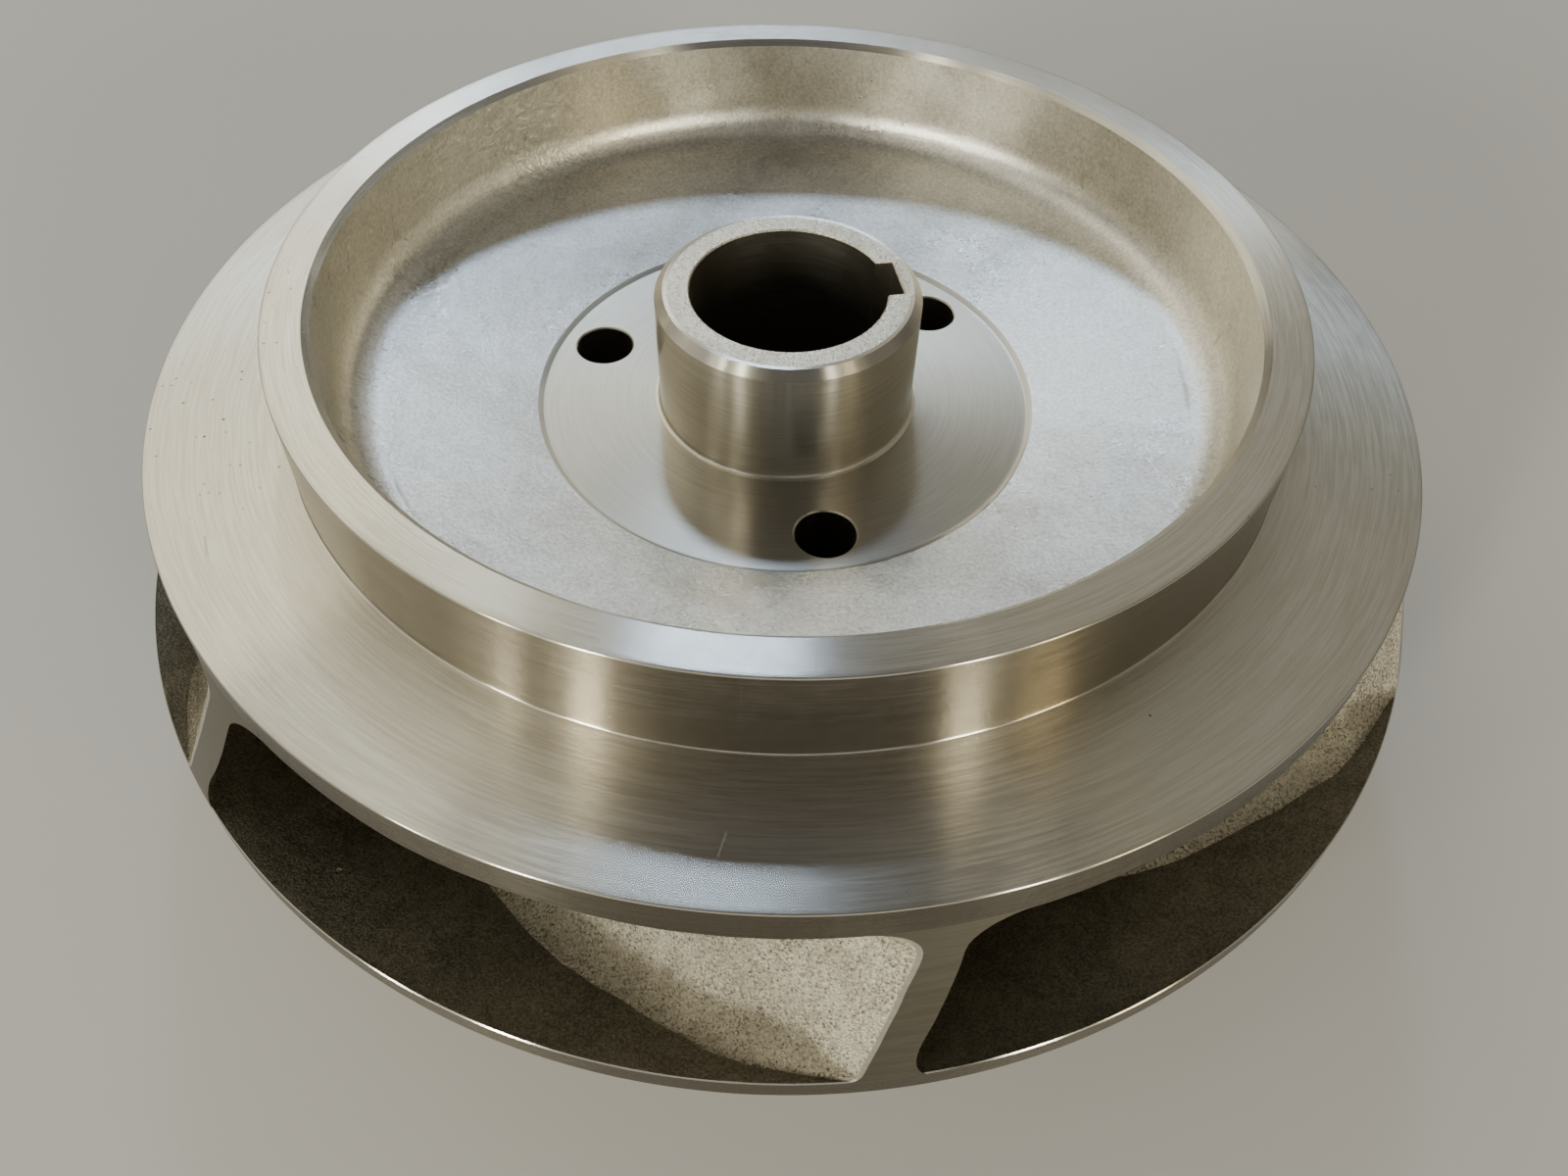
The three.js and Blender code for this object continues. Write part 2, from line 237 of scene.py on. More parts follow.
class Walls:
    """The two walls of the water passage, as curves of radius and height from the outlet (0) to the
    suction side (1)."""

    def __init__(self, sizes):
        edge_z = BACK_FACE_Z - sizes.back_edge_drop - sizes.rim_thickness
        nose = (sizes.nose_radius, NOSE_FOOT_Z + sizes.nose_round)
        self.hub = ((BACK_RADIUS, edge_z), (0.135, 0.120), (0.060, 0.118), nose)
        eye = (sizes.eye_radius, sizes.eye_round)
        self.shroud = ((FRONT_RADIUS, FRONT_RIM_TOP_Z), (0.188, 0.060), (0.143, 0.060), eye)

    @staticmethod
    def place(controls, column, value):
        """Parameter at which the curve's radius (column 0) or height (column 1) has a value."""
        at = np.linspace(0.0, 1.0, PLACE_SAMPLES)
        measure = bezier(controls, at)[:, column]
        return float(np.interp(value, measure[::-1], at[::-1]))

    def hub_stretch(self, start, end, steps):
        return bezier(self.hub, np.linspace(start, end, steps + 1))

    def shroud_stretch(self, start, end, steps):
        return bezier(self.shroud, np.linspace(start, end, steps + 1))

    def hub_height(self, radius):
        """Height of the hub wall above a point at that radius."""
        samples = bezier(self.hub, np.linspace(0.0, 1.0, HEIGHT_SAMPLES))[::-1]
        return np.interp(radius, samples[:, 0], samples[:, 1])


class Stretch:
    """A stretch of a profile with one finish. swelling is the height of its cast unevenness and
    swell_axis the profile direction (radius, height) in which that moves it."""

    def __init__(self, points, finish, swelling=0.0, swell_axis=(0.0, 1.0)):
        self.points = np.asarray(points, float)
        self.finish = finish
        amount = np.broadcast_to(np.asarray(swelling, float), (len(self.points),))
        self.move = amount[:, None] * np.asarray(swell_axis, float)


def joined(stretches):
    """One closed profile from stretches laid end to end: points, their moves and the finish of the
    edge that follows each point. A point shared by two stretches takes the larger move."""
    points, moves, finishes = [], [], []
    for stretch in stretches:
        start = 0
        if points and np.allclose(points[-1][-1], stretch.points[0], atol=1e-7):
            start = 1
            last, first = moves[-1][-1], stretch.move[0]
            moves[-1][-1] = first if np.linalg.norm(first) > np.linalg.norm(last) else last
            finishes[-1][-1] = stretch.finish
        points.append(stretch.points[start:].copy())
        moves.append(stretch.move[start:].copy())
        finishes.append(np.full(len(points[-1]), stretch.finish))
    points, moves, finishes = np.concatenate(points), np.concatenate(moves), np.concatenate(finishes)
    if np.allclose(points[0], points[-1], atol=1e-7):
        if np.linalg.norm(moves[-1]) > np.linalg.norm(moves[0]):
            moves[0] = moves[-1]
        points, moves, finishes = points[:-1], moves[:-1], finishes[:-1]
    return points, moves, finishes


def path(start, *legs):
    """Points of a profile from start along its legs: (end, steps) goes straight, and (corner, end,
    steps) is a conic that is drawn towards the corner."""
    points = [np.asarray([start], float)]
    for *corner, end, steps in legs:
        begin = points[-1][-1]
        leg = conic(begin, *corner, end, steps) if corner else line(begin, end, steps)
        points.append(leg[1:])
    return np.concatenate(points)


def skin(grid, profile, finishes):
    """A closed skin over rings of points, each joined to the next and the last to the first, with its
    faces outwards. The profile has each ring's (radius, height). Returns vertices, quads, their
    finishes and their corners' (turn, length along the profile)."""
    following = np.roll(profile, -1, axis=0)
    here, near = np.arange(TURNS), np.arange(len(grid))[:, None] * TURNS
    after, far = np.roll(here, -1), np.roll(near, -1, axis=0)
    quads = np.stack([near + here, near + after, far + after, far + here], axis=-1).reshape(-1, 4)
    run = np.append(0.0, np.cumsum(np.linalg.norm(following - profile, axis=1)))
    corners = np.empty((len(grid), TURNS, 4, 2))
    corners[..., 0] = (here[:, None] + np.array([0, 1, 1, 0])) / TURNS
    corners[..., :2, 1] = run[:-1, None, None]
    corners[..., 2:, 1] = run[1:, None, None]
    corners = corners.reshape(-1, 4, 2)
    area = np.sum(profile[:, 0] * following[:, 1] - following[:, 0] * profile[:, 1])
    if area < 0:
        quads, corners = quads[:, ::-1], corners[:, ::-1]
    return grid.reshape(-1, 3), quads, np.repeat(finishes, TURNS), corners


def revolved(stretches, seed=1):
    """A closed profile turned about the axis: point (r, z) goes to (r cos a, r sin a, z) for every
    angle a, and cast stretches are moved by a swell."""
    profile, moves, finishes = joined(stretches)
    around = polar(1.0, ROUND)
    grid = np.empty((len(profile), TURNS, 3))
    grid[..., :2] = profile[:, None, :1] * around
    grid[..., 2] = profile[:, None, 1]
    amount = swell(grid, seed, LONG_SWELL) * 0.8 + swell(grid, seed + 1, SHORT_SWELL) * 0.2
    shift = moves[:, None, :] * amount[..., None]
    grid[..., :2] += shift[..., :1] * around
    grid[..., 2] += shift[..., 1]
    return skin(grid, profile, finishes)


def linked(name, data):
    """A new object in the scene."""
    item = bpy.data.objects.new(name, data)
    bpy.context.scene.collection.objects.link(item)
    return item


def read(items, key, kind):
    """One value of each item as an array."""
    values = np.empty(len(items), kind)
    items.foreach_get(key, values)
    return values


def put(name, mesh_data, materials, nodes):
    """Makes the object from vertices, faces, finishes and corners. Edges are sharp where two finishes
    meet or the surface turns by more than the sharp angle. The piece stands for the named solids
    and rides on the impeller's body."""
    vertices, faces, marks, corners, *foot = mesh_data
    mesh = bpy.data.meshes.new(name)
    mesh.from_pydata(vertices.tolist(), [], faces if isinstance(faces, list) else faces.tolist())
    turning = mesh.uv_layers.new(name="turning")
    turning.data.foreach_set("uv", corners.reshape(-1).astype(np.float32))
    # The foot attribute, when given, is the mask of painted shade at a vane's foot.
    if foot:
        mesh.attributes.new("foot", "FLOAT", "POINT").data.foreach_set("value", foot[0].astype(np.float32))
    used = sorted(set(int(value) for value in marks))
    for mark in used:
        mesh.materials.append(materials[mark])
    mesh.polygons.foreach_set("material_index", np.searchsorted(used, marks).astype(np.int32))
    mesh.polygons.foreach_set("use_smooth", np.ones(len(marks), bool))
    mesh.update()
    mesh.set_sharp_from_angle(angle=SHARP_ANGLE)
    edges = read(mesh.loops, "edge_index", np.int32)
    corner_marks = np.repeat(marks, read(mesh.polygons, "loop_total", np.int32))
    lowest, highest = np.full(len(mesh.edges), len(materials)), np.full(len(mesh.edges), -1)
    np.minimum.at(lowest, edges, corner_marks)
    np.maximum.at(highest, edges, corner_marks)
    is_sharp = read(mesh.edges, "use_edge_sharp", bool) | (lowest != highest)
    mesh.edges.foreach_set("use_edge_sharp", is_sharp)
    piece = linked(name, mesh)
    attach(piece, BODY)
    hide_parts(*nodes)


# Anisotropic Rotation that lays the reflections along the turning tangent
QUARTER_TURN = 0.25

# Depth of the lathe's grooves, and the colours of pits and scratches
GROOVE_DEPTH = 0.0022 * MM
PIT_SHADE = (0.10, 0.085, 0.06)
SCRATCH_SHADE = (0.93, 0.90, 0.84)

# Middle of the patch of the turned face where pits crowd
PIT_CLUSTER = (-0.170, -0.035, 0.141)

# Middle of the stretch where the ring's root was left as rough as it was cast
ROUGH_ROOT = (-0.119, 0.083, 0.139)

# The scratches that show on the turned face: from, to and width. The face slopes, so each end has
# its own height.
FACE_SCRATCHES = (
    (
        (-0.0133, -0.1930, BACK_FACE_Z - 0.67 * MM),
        (-0.0116, -0.1868, BACK_FACE_Z - 0.53 * MM),
        0.5 * MM,
    ),
    (
        (-0.1660, -0.1010, BACK_FACE_Z - 0.69 * MM),
        (-0.1690, -0.0935, BACK_FACE_Z - 0.66 * MM),
        0.6 * MM,
    ),
)


class Recipe:
    """A material under construction. add() makes a node: sockets and plain values go to the named
    inputs, and the rest are the node's own settings. Patterns lie on Object coordinates."""

    def __init__(self, name, metallic=1.0):
        self.material = bpy.data.materials.new(name)
        self.material.use_nodes = True
        self.tree = self.material.node_tree
        self.tree.nodes.clear()
        self.surface = self.add("ShaderNodeBsdfPrincipled", {"Metallic": metallic})
        self.add("ShaderNodeOutputMaterial", {"Surface": self.surface.outputs[0]})
        self.place = self.add("ShaderNodeTexCoord").outputs["Object"]

    def feed(self, node, inputs):
        for key, value in inputs.items():
            if isinstance(value, bpy.types.NodeSocket):
                self.tree.links.new(value, node.inputs[key])
            else:
                node.inputs[key].default_value = value
        return node

    def add(self, kind, inputs=None, **settings):
        node = self.tree.nodes.new(kind)
        for key, value in settings.items():
            setattr(node, key, value)
        return self.feed(node, inputs or {})

    def maths(self, operation, *values):
        return self.add("ShaderNodeMath", dict(enumerate(values)), operation=operation).outputs[0]

    def times(self, first, second):
        return self.maths("MULTIPLY", first, second)

    def total(self, *terms):
        """A sum. A pair among the terms is a value and its weight."""
        values = [self.times(*term) if isinstance(term, tuple) else term for term in terms]
        result = values[0]
        for value in values[1:]:
            result = self.maths("ADD", result, value)
        return result

    def vectors(self, operation, first, second):
        """Vector arithmetic, in which a dot product or a distance is a plain value."""
        node = self.add("ShaderNodeVectorMath", {0: first, 1: second}, operation=operation)
        return node.outputs["Value" if operation in {"DOT_PRODUCT", "DISTANCE"} else "Vector"]

    def noise(self, scale, detail, roughness, distortion=0.0, vector=None):
        values = {"Vector": self.place if vector is None else vector, "Scale": scale, "Detail": detail}
        values.update({"Roughness": roughness, "Distortion": distortion})
        return self.add("ShaderNodeTexNoise", values).outputs["Fac"]

    def spread(self, value, low, high, to_low=0.0, to_high=1.0, smooth=False):
        """A value's range from low to high laid on another range, held at its ends."""
        values = {0: value, 1: low, 2: high, 3: to_low, 4: to_high}
        kind = "SMOOTHSTEP" if smooth else "LINEAR"
        return self.add("ShaderNodeMapRange", values, interpolation_type=kind).outputs[0]

    def tint(self, factor, *shades):
        """A colour between two shades, each of them a colour or a socket."""
        low, high = (shade if isinstance(shade, bpy.types.NodeSocket) else (*shade, 1.0) for shade in shades)
        node = self.add("ShaderNodeMix", data_type="RGBA")
        return self.feed(node, {0: factor, 6: low, 7: high}).outputs[2]

    def parts(self):
        return self.add("ShaderNodeSeparateXYZ", {0: self.place}).outputs

    def radius(self):
        x, y, _ = self.parts()
        return self.maths("SQRT", self.total(self.maths("POWER", x, 2.0), self.maths("POWER", y, 2.0)))

    def bump(self, height, distance, under=None):
        values = {"Height": height, "Distance": distance, "Strength": 1.0}
        if under is not None:
            values["Normal"] = under
        return self.add("ShaderNodeBump", values).outputs[0]

    def finished(self, tone, rough, normal, stretch=None):
        """The material with its last sockets fed. A stretch draws the reflections out round the axis."""
        self.feed(self.surface, {"Base Color": tone, "Roughness": rough, "Normal": normal})
        if stretch is not None:
            turning = self.add("ShaderNodeTangent", direction_type="UV_MAP", uv_map="turning").outputs[0]
            values = {"Anisotropic": stretch, "Anisotropic Rotation": QUARTER_TURN, "Tangent": turning}
            self.feed(self.surface, values)
        return self.material


def lathe_lines(recipe, along, across):
    """Fine grooves that run round the axis: noise that changes fast with radius plus height and
    slowly along the turn."""
    x, y, z = recipe.parts()
    step = recipe.total(recipe.radius(), z)
    values = {0: recipe.times(x, along), 1: recipe.times(y, along), 2: recipe.times(step, across)}
    return recipe.noise(1.0, 2.0, 0.55, vector=recipe.add("ShaderNodeCombineXYZ", values).outputs[0])


def scratch_between(recipe, start, finish, width):
    """A straight scratch, 1 on the line from start to finish and 0 beyond half its width."""
    start, run = Vector(start), Vector(finish) - Vector(start)
    away = recipe.vectors("SUBTRACT", recipe.place, tuple(start))
    along = recipe.spread(recipe.vectors("DOT_PRODUCT", away, tuple(run)), 0.0, run.length_squared)
    foot = recipe.vectors("MULTIPLY", tuple(run), along)
    return recipe.spread(recipe.vectors("DISTANCE", away, foot), width * 0.3, width * 0.5, 1.0, 0.0)


def pits(recipe, scale, size, share_of):
    """Small round pits, 1 inside: round the centres of a share of the cells of a random pattern."""
    cells = recipe.add("ShaderNodeTexVoronoi", {"Vector": recipe.place, "Scale": scale}, feature="F1")
    pit = recipe.spread(cells.outputs["Distance"], size * 0.55, size, 1.0, 0.0)
    lot = recipe.add("ShaderNodeSeparateColor", {0: cells.outputs["Color"]}).outputs[0]
    return recipe.times(pit, recipe.spread(lot, 1.0 - share_of, 1.01 - share_of))


def near_to(recipe, spot, inner, outer):
    """1 within the inner distance of a spot, falling to 0 at the outer one."""
    return recipe.spread(recipe.vectors("DISTANCE", recipe.place, spot), inner, outer, 1.0, 0.0, True)


def darker(shade, factor, warmth=0.0):
    """A shade times a factor, with its blue end held back by the warmth."""
    red, green, blue = shade
    return red * factor, green * factor * (1.0 - warmth * 0.35), blue * factor * (1.0 - warmth)


def turned_steel(name, shade, gloss, stretch, cut=1.0, contrast=0.5, cluster=None, scratches=()):
    """Steel as it leaves the lathe, wiped and handled: nearly a mirror along the cuts and duller
    across them, with fine broken cuts, faint clouds, a few small pits, which crowd in the cluster,
    and the scratches that are given. cut deepens the grooves, and contrast parts light from dark."""
    recipe = Recipe(name)
    fine = recipe.spread(lathe_lines(recipe, 45.0, 1500.0), 0.33, 0.67)
    broad = recipe.spread(lathe_lines(recipe, 20.0, 560.0), 0.3, 0.7)
    cuts = recipe.total((fine, 0.9), (broad, 0.1))
    clouds = recipe.spread(recipe.noise(30.0, 5.0, 0.62, 0.5), 0.3, 0.7, -0.1, 0.2)
    stain = recipe.noise(130.0, 4.0, 0.65, 0.6)
    stains = recipe.spread(stain, 0.3, 0.7, -0.05, 0.05)
    blend = recipe.total(clouds, stains, recipe.spread(cuts, 0.15, 0.85))
    tone = recipe.tint(blend, darker(shade, 1.0 - 0.15 * contrast, 0.06), darker(shade, 1.0 + 0.1 * contrast))
    pit = pits(recipe, 120.0, 0.05, 0.16)
    if cluster:
        crowd = recipe.times(pits(recipe, 330.0, 0.19, 0.34), near_to(recipe, cluster, 0.012, 0.062))
        pit = recipe.maths("MAXIMUM", pit, crowd)
    tone = recipe.tint(recipe.times(pit, 0.75), tone, PIT_SHADE)
    rough = recipe.spread(stain, 0.35, 0.75, gloss, gloss + 0.035)
    rough = recipe.total(rough, (cuts, 0.028), (pit, 0.4))
    for start, finish, width in scratches:
        scratch = scratch_between(recipe, start, finish, width)
        tone = recipe.tint(recipe.times(scratch, 0.6), tone, SCRATCH_SHADE)
        rough = recipe.total(rough, (scratch, 0.3))
    return recipe.finished(tone, rough, recipe.bump(cuts, GROOVE_DEPTH * cut), stretch)


def ground_steel(name, shade, gloss):
    """Hand-ground and blasted casting: a fine grain, shallow grinding dabs in rows round the axis,
    soft patches, and a crust where the ring's root was left rough."""
    recipe = Recipe(name)
    grain = recipe.noise(760.0, 4.0, 0.75)
    dabs = recipe.noise(120.0, 3.0, 0.6, 0.8)
    patches = recipe.noise(20.0, 4.0, 0.6, 0.3)
    blend = recipe.total(
        recipe.spread(patches, 0.3, 0.7, 0.1, 0.5),
        recipe.spread(dabs, 0.3, 0.7, 0.0, 0.3),
        recipe.spread(grain, 0.35, 0.65, -0.4, 0.5),
    )
    tone = recipe.tint(blend, darker(shade, 0.72, 0.05), darker(shade, 1.13))
    rough = recipe.spread(patches, 0.3, 0.7, gloss - 0.03, gloss + 0.05)
    rough = recipe.total(rough, recipe.spread(dabs, 0.35, 0.75, -0.02, 0.025))
    waves = recipe.total((dabs, 0.7), (lathe_lines(recipe, 45.0, 300.0), 0.3))
    crust = recipe.times(recipe.noise(210.0, 4.0, 0.7), near_to(recipe, ROUGH_ROOT, 0.03, 0.08))
    crust = recipe.times(crust, recipe.spread(recipe.radius(), 0.131, 0.137, smooth=True))
    fine = recipe.bump(crust, 0.9 * MM, recipe.bump(grain, 0.13 * MM))
    return recipe.finished(tone, rough, recipe.bump(waves, 0.06 * MM, fine), 0.3)


def blasted_steel(name, shade, gloss):
    """A machined face that was bead-blasted: an even sparkle with a few specks."""
    recipe = Recipe(name)
    grain = recipe.noise(950.0, 3.0, 0.75)
    clouds = recipe.spread(recipe.noise(60.0, 3.0, 0.6), 0.3, 0.7, 0.0, 0.4)
    blend = recipe.total(clouds, recipe.spread(grain, 0.38, 0.62, 0.0, 0.6))
    tone = recipe.tint(blend, darker(shade, 0.68, 0.06), darker(shade, 1.2))
    rough = recipe.spread(grain, 0.3, 0.7, gloss - 0.08, gloss + 0.08)
    return recipe.finished(tone, rough, recipe.bump(grain, 0.28 * MM))


def cast_steel(name, shade, gloss, depth, foot_share=1.0, outlet_share=1.0):
    """Sand-cast skin, blasted: grains that glitter, larger lumps, blow holes and brown dirt in the
    lows. Where the mesh marks a vane's foot, the colour falls to the foot's share: painted shade in
    the fillet by the shroud floor. Towards the outlet the colour rises to the outlet's share: painted
    light where the passage opens out."""
    recipe = Recipe(name)
    sand = recipe.noise(1200.0, 3.0, 0.75)
    lumps = recipe.noise(190.0, 4.0, 0.65)
    patches = recipe.noise(34.0, 4.0, 0.65, 0.4)
    soil = recipe.spread(recipe.total((patches, 0.22), (lumps, 0.13), (sand, 0.65)), 0.42, 0.64)
    tone = recipe.tint(soil, darker(shade, 0.52, 0.12), darker(shade, 1.8))
    if foot_share < 1.0:
        # Painted shade: the foot mask, broken up by the lumps, darkens the colour in the vane's fillet by the
        # shroud floor.
        foot = recipe.add("ShaderNodeAttribute", attribute_name="foot").outputs["Fac"]
        foot = recipe.total(foot, recipe.spread(lumps, 0.3, 0.7, -0.35, 0.35))
        low = recipe.tint(soil, darker(shade, 0.6 * foot_share, 0.2), darker(shade, 1.5 * foot_share, 0.1))
        tone = recipe.tint(recipe.spread(foot, 0.15, 0.85, smooth=True), tone, low)
    if outlet_share > 1.0:
        # Painted light: the passage skin grows lighter towards the outlet, where light reaches it.
        outlet_light = recipe.tint(soil, darker(shade, 0.55 * outlet_share), darker(shade, 1.6 * outlet_share))
        tone = recipe.tint(recipe.spread(recipe.radius(), 0.188, 0.228, smooth=True), tone, outlet_light)
    rough = recipe.spread(sand, 0.3, 0.7, gloss - 0.12, gloss + 0.12)
    height = recipe.total(sand, lumps, (pits(recipe, 85.0, 0.09, 0.05), -1.6))
    return recipe.finished(tone, rough, recipe.bump(height, depth))


def studio_floor(name, shade):
    """Plain pale floor with a faint unevenness."""
    recipe = Recipe(name, metallic=0.0)
    cloud = recipe.spread(recipe.noise(1.6, 3.0, 0.5), 0.35, 0.65)
    tone = recipe.tint(cloud, darker(shade, 0.985), shade)
    recipe.feed(recipe.surface, {"Base Color": tone, "Roughness": 0.72, "Specular IOR Level": 0.25})
    return recipe.material


# Names of the steel finishes, in the order of their numbers at the top
FINISH_NAMES = (
    "turned_face", "turned_rim", "cast_passage", "ground_dish", "bored_wall",
    "vane_land", "blasted_face", "cast_vane", "turned_pad", "turned_wall",
)


def finishes(context):
    """The steel finishes, made once and shared."""
    if FINISH_NAMES[0] in bpy.data.materials:
        return [bpy.data.materials[name] for name in FINISH_NAMES]
    looks = context.scene.impeller_finish
    turned, ground, cast = tuple(looks.turned_colour), tuple(looks.ground_colour), tuple(looks.cast_colour)
    gloss, sand_gloss = looks.turned_gloss, looks.cast_gloss
    face, rim, passage, dish, bore, land, blasted, vane, pad, wall = FINISH_NAMES
    return [
        turned_steel(face, turned, gloss, 1.0, cluster=PIT_CLUSTER, scratches=FACE_SCRATCHES),
        # The rim band's turned steel darkened to a quarter: painted dark reflection of the surroundings below
        # it.
        turned_steel(rim, darker(turned, 0.25, 0.14), gloss + 0.04, 0.9),
        # cast_passage: the cast steel at a third of its colour, partly a darker skin and partly painted shade
        # inside the passages.
        cast_steel(passage, darker(cast, 0.33, 0.08), sand_gloss + 0.06, 0.5 * MM, outlet_share=1.55),
        ground_steel(dish, ground, looks.ground_gloss),
        turned_steel(bore, darker(turned, 0.6, 0.05), gloss + 0.1, 0.0, cut=2.0),
        # The vane lands' turned steel darkened to about a quarter: painted dark reflection of the
        # surroundings below them.
        turned_steel(land, darker(turned, 0.26, 0.14), gloss + 0.08, 0.5, cut=2.0),
        blasted_steel(blasted, darker(turned, 1.28, 0.08), looks.ground_gloss),
        # cast_vane: the cast steel lightened by about two fifths, partly a blasted face and partly painted
        # light on the vanes' lit faces.
        cast_steel(vane, darker(cast, 1.42), sand_gloss - 0.11, 0.9 * MM, foot_share=0.52),
        turned_steel(pad, darker(turned, 0.70, 0.04), gloss + 0.08, 0.9, contrast=0.4),
        # The ring's outer wall darkened to under two thirds: painted dark reflection of the floor in front of
        # it.
        turned_steel(wall, darker(turned, 0.58, 0.1), gloss - 0.01, 1.0),
    ]


def rear_root(sizes):
    """The hollow root of the rear ring in two halves, from the ring's bore and from the dish floor's
    edge to where they meet at the height of the back face."""
    corner = (DISH_WALL_RADIUS, sizes.floor_height + 2.2 * MM)
    root = conic((DISH_WALL_RADIUS, sizes.root_top), corner, (sizes.floor_edge, sizes.floor_height), 40)
    meet = (float(np.interp(BACK_FACE_Z, root[::-1, 1], root[::-1, 0])), BACK_FACE_Z)
    upper, lower = root[root[:, 1] > BACK_FACE_Z], root[root[:, 1] < BACK_FACE_Z][::-1]
    return np.vstack([upper, meet]), np.vstack([lower, meet])


def back_shroud_mesh(sizes):
    """Turned face and rim of the back shroud over the cast wall of the passage."""
    walls = Walls(sizes)
    inner, ring, out, cut = DISH_WALL_RADIUS, REAR_RING_RADIUS, BACK_RADIUS, sizes.edge_break
    face_z, edge_z = BACK_FACE_Z, BACK_FACE_Z - sizes.back_edge_drop
    fillet = 0.6 * MM
    foot = (ring + fillet, face_z - sizes.back_edge_drop / (out - ring) * fillet)
    face = path(
        (inner, face_z), ((ring, face_z), 1), ((ring, face_z + fillet), 1), ((ring, face_z), foot, 6),
        ((out - cut, edge_z), 36), ((out, edge_z), (out, edge_z - cut), 4),
    )
    under = walls.hub_stretch(0.0, walls.place(walls.hub, 0, inner), 40)
    profile = [
        Stretch(face, TURNED),
        Stretch(line(face[-1], (out, edge_z - sizes.rim_thickness), 8), RIM),
        Stretch(under, CAST, sizes.cast_unevenness),
        Stretch(line(under[-1], (inner, face_z)), CAST),
    ]
    return revolved(profile, seed=11)


def rear_ring_mesh(sizes):
    """Turned ring on the back shroud, with its chamfer and the upper part of its hollow root."""
    low, top, out, cut = BACK_FACE_Z, REAR_RING_TOP_Z, REAR_RING_RADIUS, sizes.edge_break
    bore, chamfer = sizes.ring_bore, sizes.ring_chamfer
    root = rear_root(sizes)[0]
    end = path(
        (out, top - cut), ((out, top), (out - cut, top), 4), ((bore + chamfer, top), 12),
        ((bore, top - chamfer), 3),
    )
    inside = np.vstack([line(end[-1], root[0], 14), root[1:]])
    profile = [
        Stretch(line((out, low), end[0], 16), WALL),
        Stretch(end, TURNED),
        Stretch(inside, GROUND, ROOT_SWELL, (1.0, 0.0)),
        Stretch(line(root[-1], (out, low)), GROUND),
    ]
    return revolved(profile, seed=21)


def dish_web_mesh(sizes):
    """Ground floor of the dish and the lower part of the ring's root, over the cast passage wall."""
    walls = Walls(sizes)
    root = rear_root(sizes)[1]
    at_ring, at_pad = (walls.place(walls.hub, 0, radius) for radius in (DISH_WALL_RADIUS, PAD_STEP_RADIUS))
    under = walls.hub_stretch(at_ring, at_pad, 36)
    step = (PAD_STEP_RADIUS, PAD_STEP_Z)
    profile = [
        Stretch(line(under[-1], step), GROUND),
        Stretch(line(step, root[0], 60), GROUND, 0.12 * MM),
        Stretch(root, GROUND, ROOT_SWELL),
        Stretch(path(root[-1], ((DISH_WALL_RADIUS, BACK_FACE_Z), 1), (under[0], 1)), GROUND),
        Stretch(under, CAST, sizes.cast_unevenness),
    ]
    return revolved(profile, seed=11)


def keyed_bore(sizes, turn, offset=0.0):
    """Radius of the bore at each angle: the bore's own radius, or in the keyway the distance to its
    floor or side walls, whichever is nearer. offset widens it for a bevel."""
    away = np.abs((turn - sizes.keyway_angle + np.pi) % (2.0 * np.pi) - np.pi)
    half = sizes.keyway_width / 2.0
    near = np.minimum(away, KEYWAY_SIDE_LIMIT)
    floor = sizes.keyway_reach / np.cos(near)
    side = half / np.maximum(np.sin(near), 1e-6)
    inside = away < math.asin(half / sizes.bore_radius) + 1e-9
    return np.where(inside, np.minimum(floor, side), sizes.bore_radius) + offset


def keyed_turn(sizes):
    """Angles round the bore: even steps, with the nearest ones moved to the keyway's corners."""
    turn = ROUND.copy()
    half = sizes.keyway_width / 2.0
    for away in (math.asin(half / sizes.bore_radius), math.atan(half / sizes.keyway_reach)):
        for side in (-1.0, 1.0):
            corner = (sizes.keyway_angle + side * away) % (2.0 * np.pi)
            turn[int(np.argmin(np.abs(turn - corner)))] = corner
    return turn


def hub_sleeve_mesh(sizes):
    """Rings from the hub's outside over its end faces and through the keyed bore. Each ring has a
    radius for every angle: the same all round outside, and the keyed outline inside."""
    keyed = keyed_turn(sizes)
    out, top, foot, pad = HUB_RADIUS, HUB_TOP_Z, HUB_FOOT_Z, sizes.pad_height
    chamfer, bevel, fillet, margin = sizes.hub_chamfer, 0.5 * MM, 1.6 * MM, 8 * MM
    sunk = pad - 1.0 * MM
    outside = path(
        (out, foot), ((out, sunk), 2), ((out + fillet, sunk), 1), ((out + fillet, pad), 1),
        ((out, pad), (out, pad + fillet), 5), ((out, top - chamfer), 14), ((out - chamfer, top), 4),
    )
    rings = [(np.full(TURNS, radius), ROUND, height, TURNED) for radius, height in outside]

    def face(start, portions, height, finish):
        """Rings on a flat face, between the round outline (portion 0) and the keyed one (portion 1)."""
        for portion in portions:
            radius = start + (keyed_bore(sizes, keyed, bevel) - start) * portion
            rings.append((radius, ROUND + (keyed - ROUND) * portion, height, finish))

    face(out - chamfer, np.linspace(0.0, 1.0, 7)[1:], top, BLASTED)
    for height in [top - bevel, *np.linspace(top - margin, foot + margin, 14), foot + bevel]:
        rings.append((keyed_bore(sizes, keyed), keyed, height, BORE))
    face(out, np.linspace(1.0, 0.0, 7)[:-1], foot, TURNED)
    radii, angles, heights, finish = (np.array(column) for column in zip(*rings))
    level = np.broadcast_to(heights[:, None], radii.shape)
    grid = polar(radii, angles, level)
    return skin(grid, np.column_stack([radii[:, 0], heights]), finish)


def band(near, far):
    """Quads between two closed rows of points."""
    return np.stack([near, np.roll(near, -1), np.roll(far, -1), far], -1)


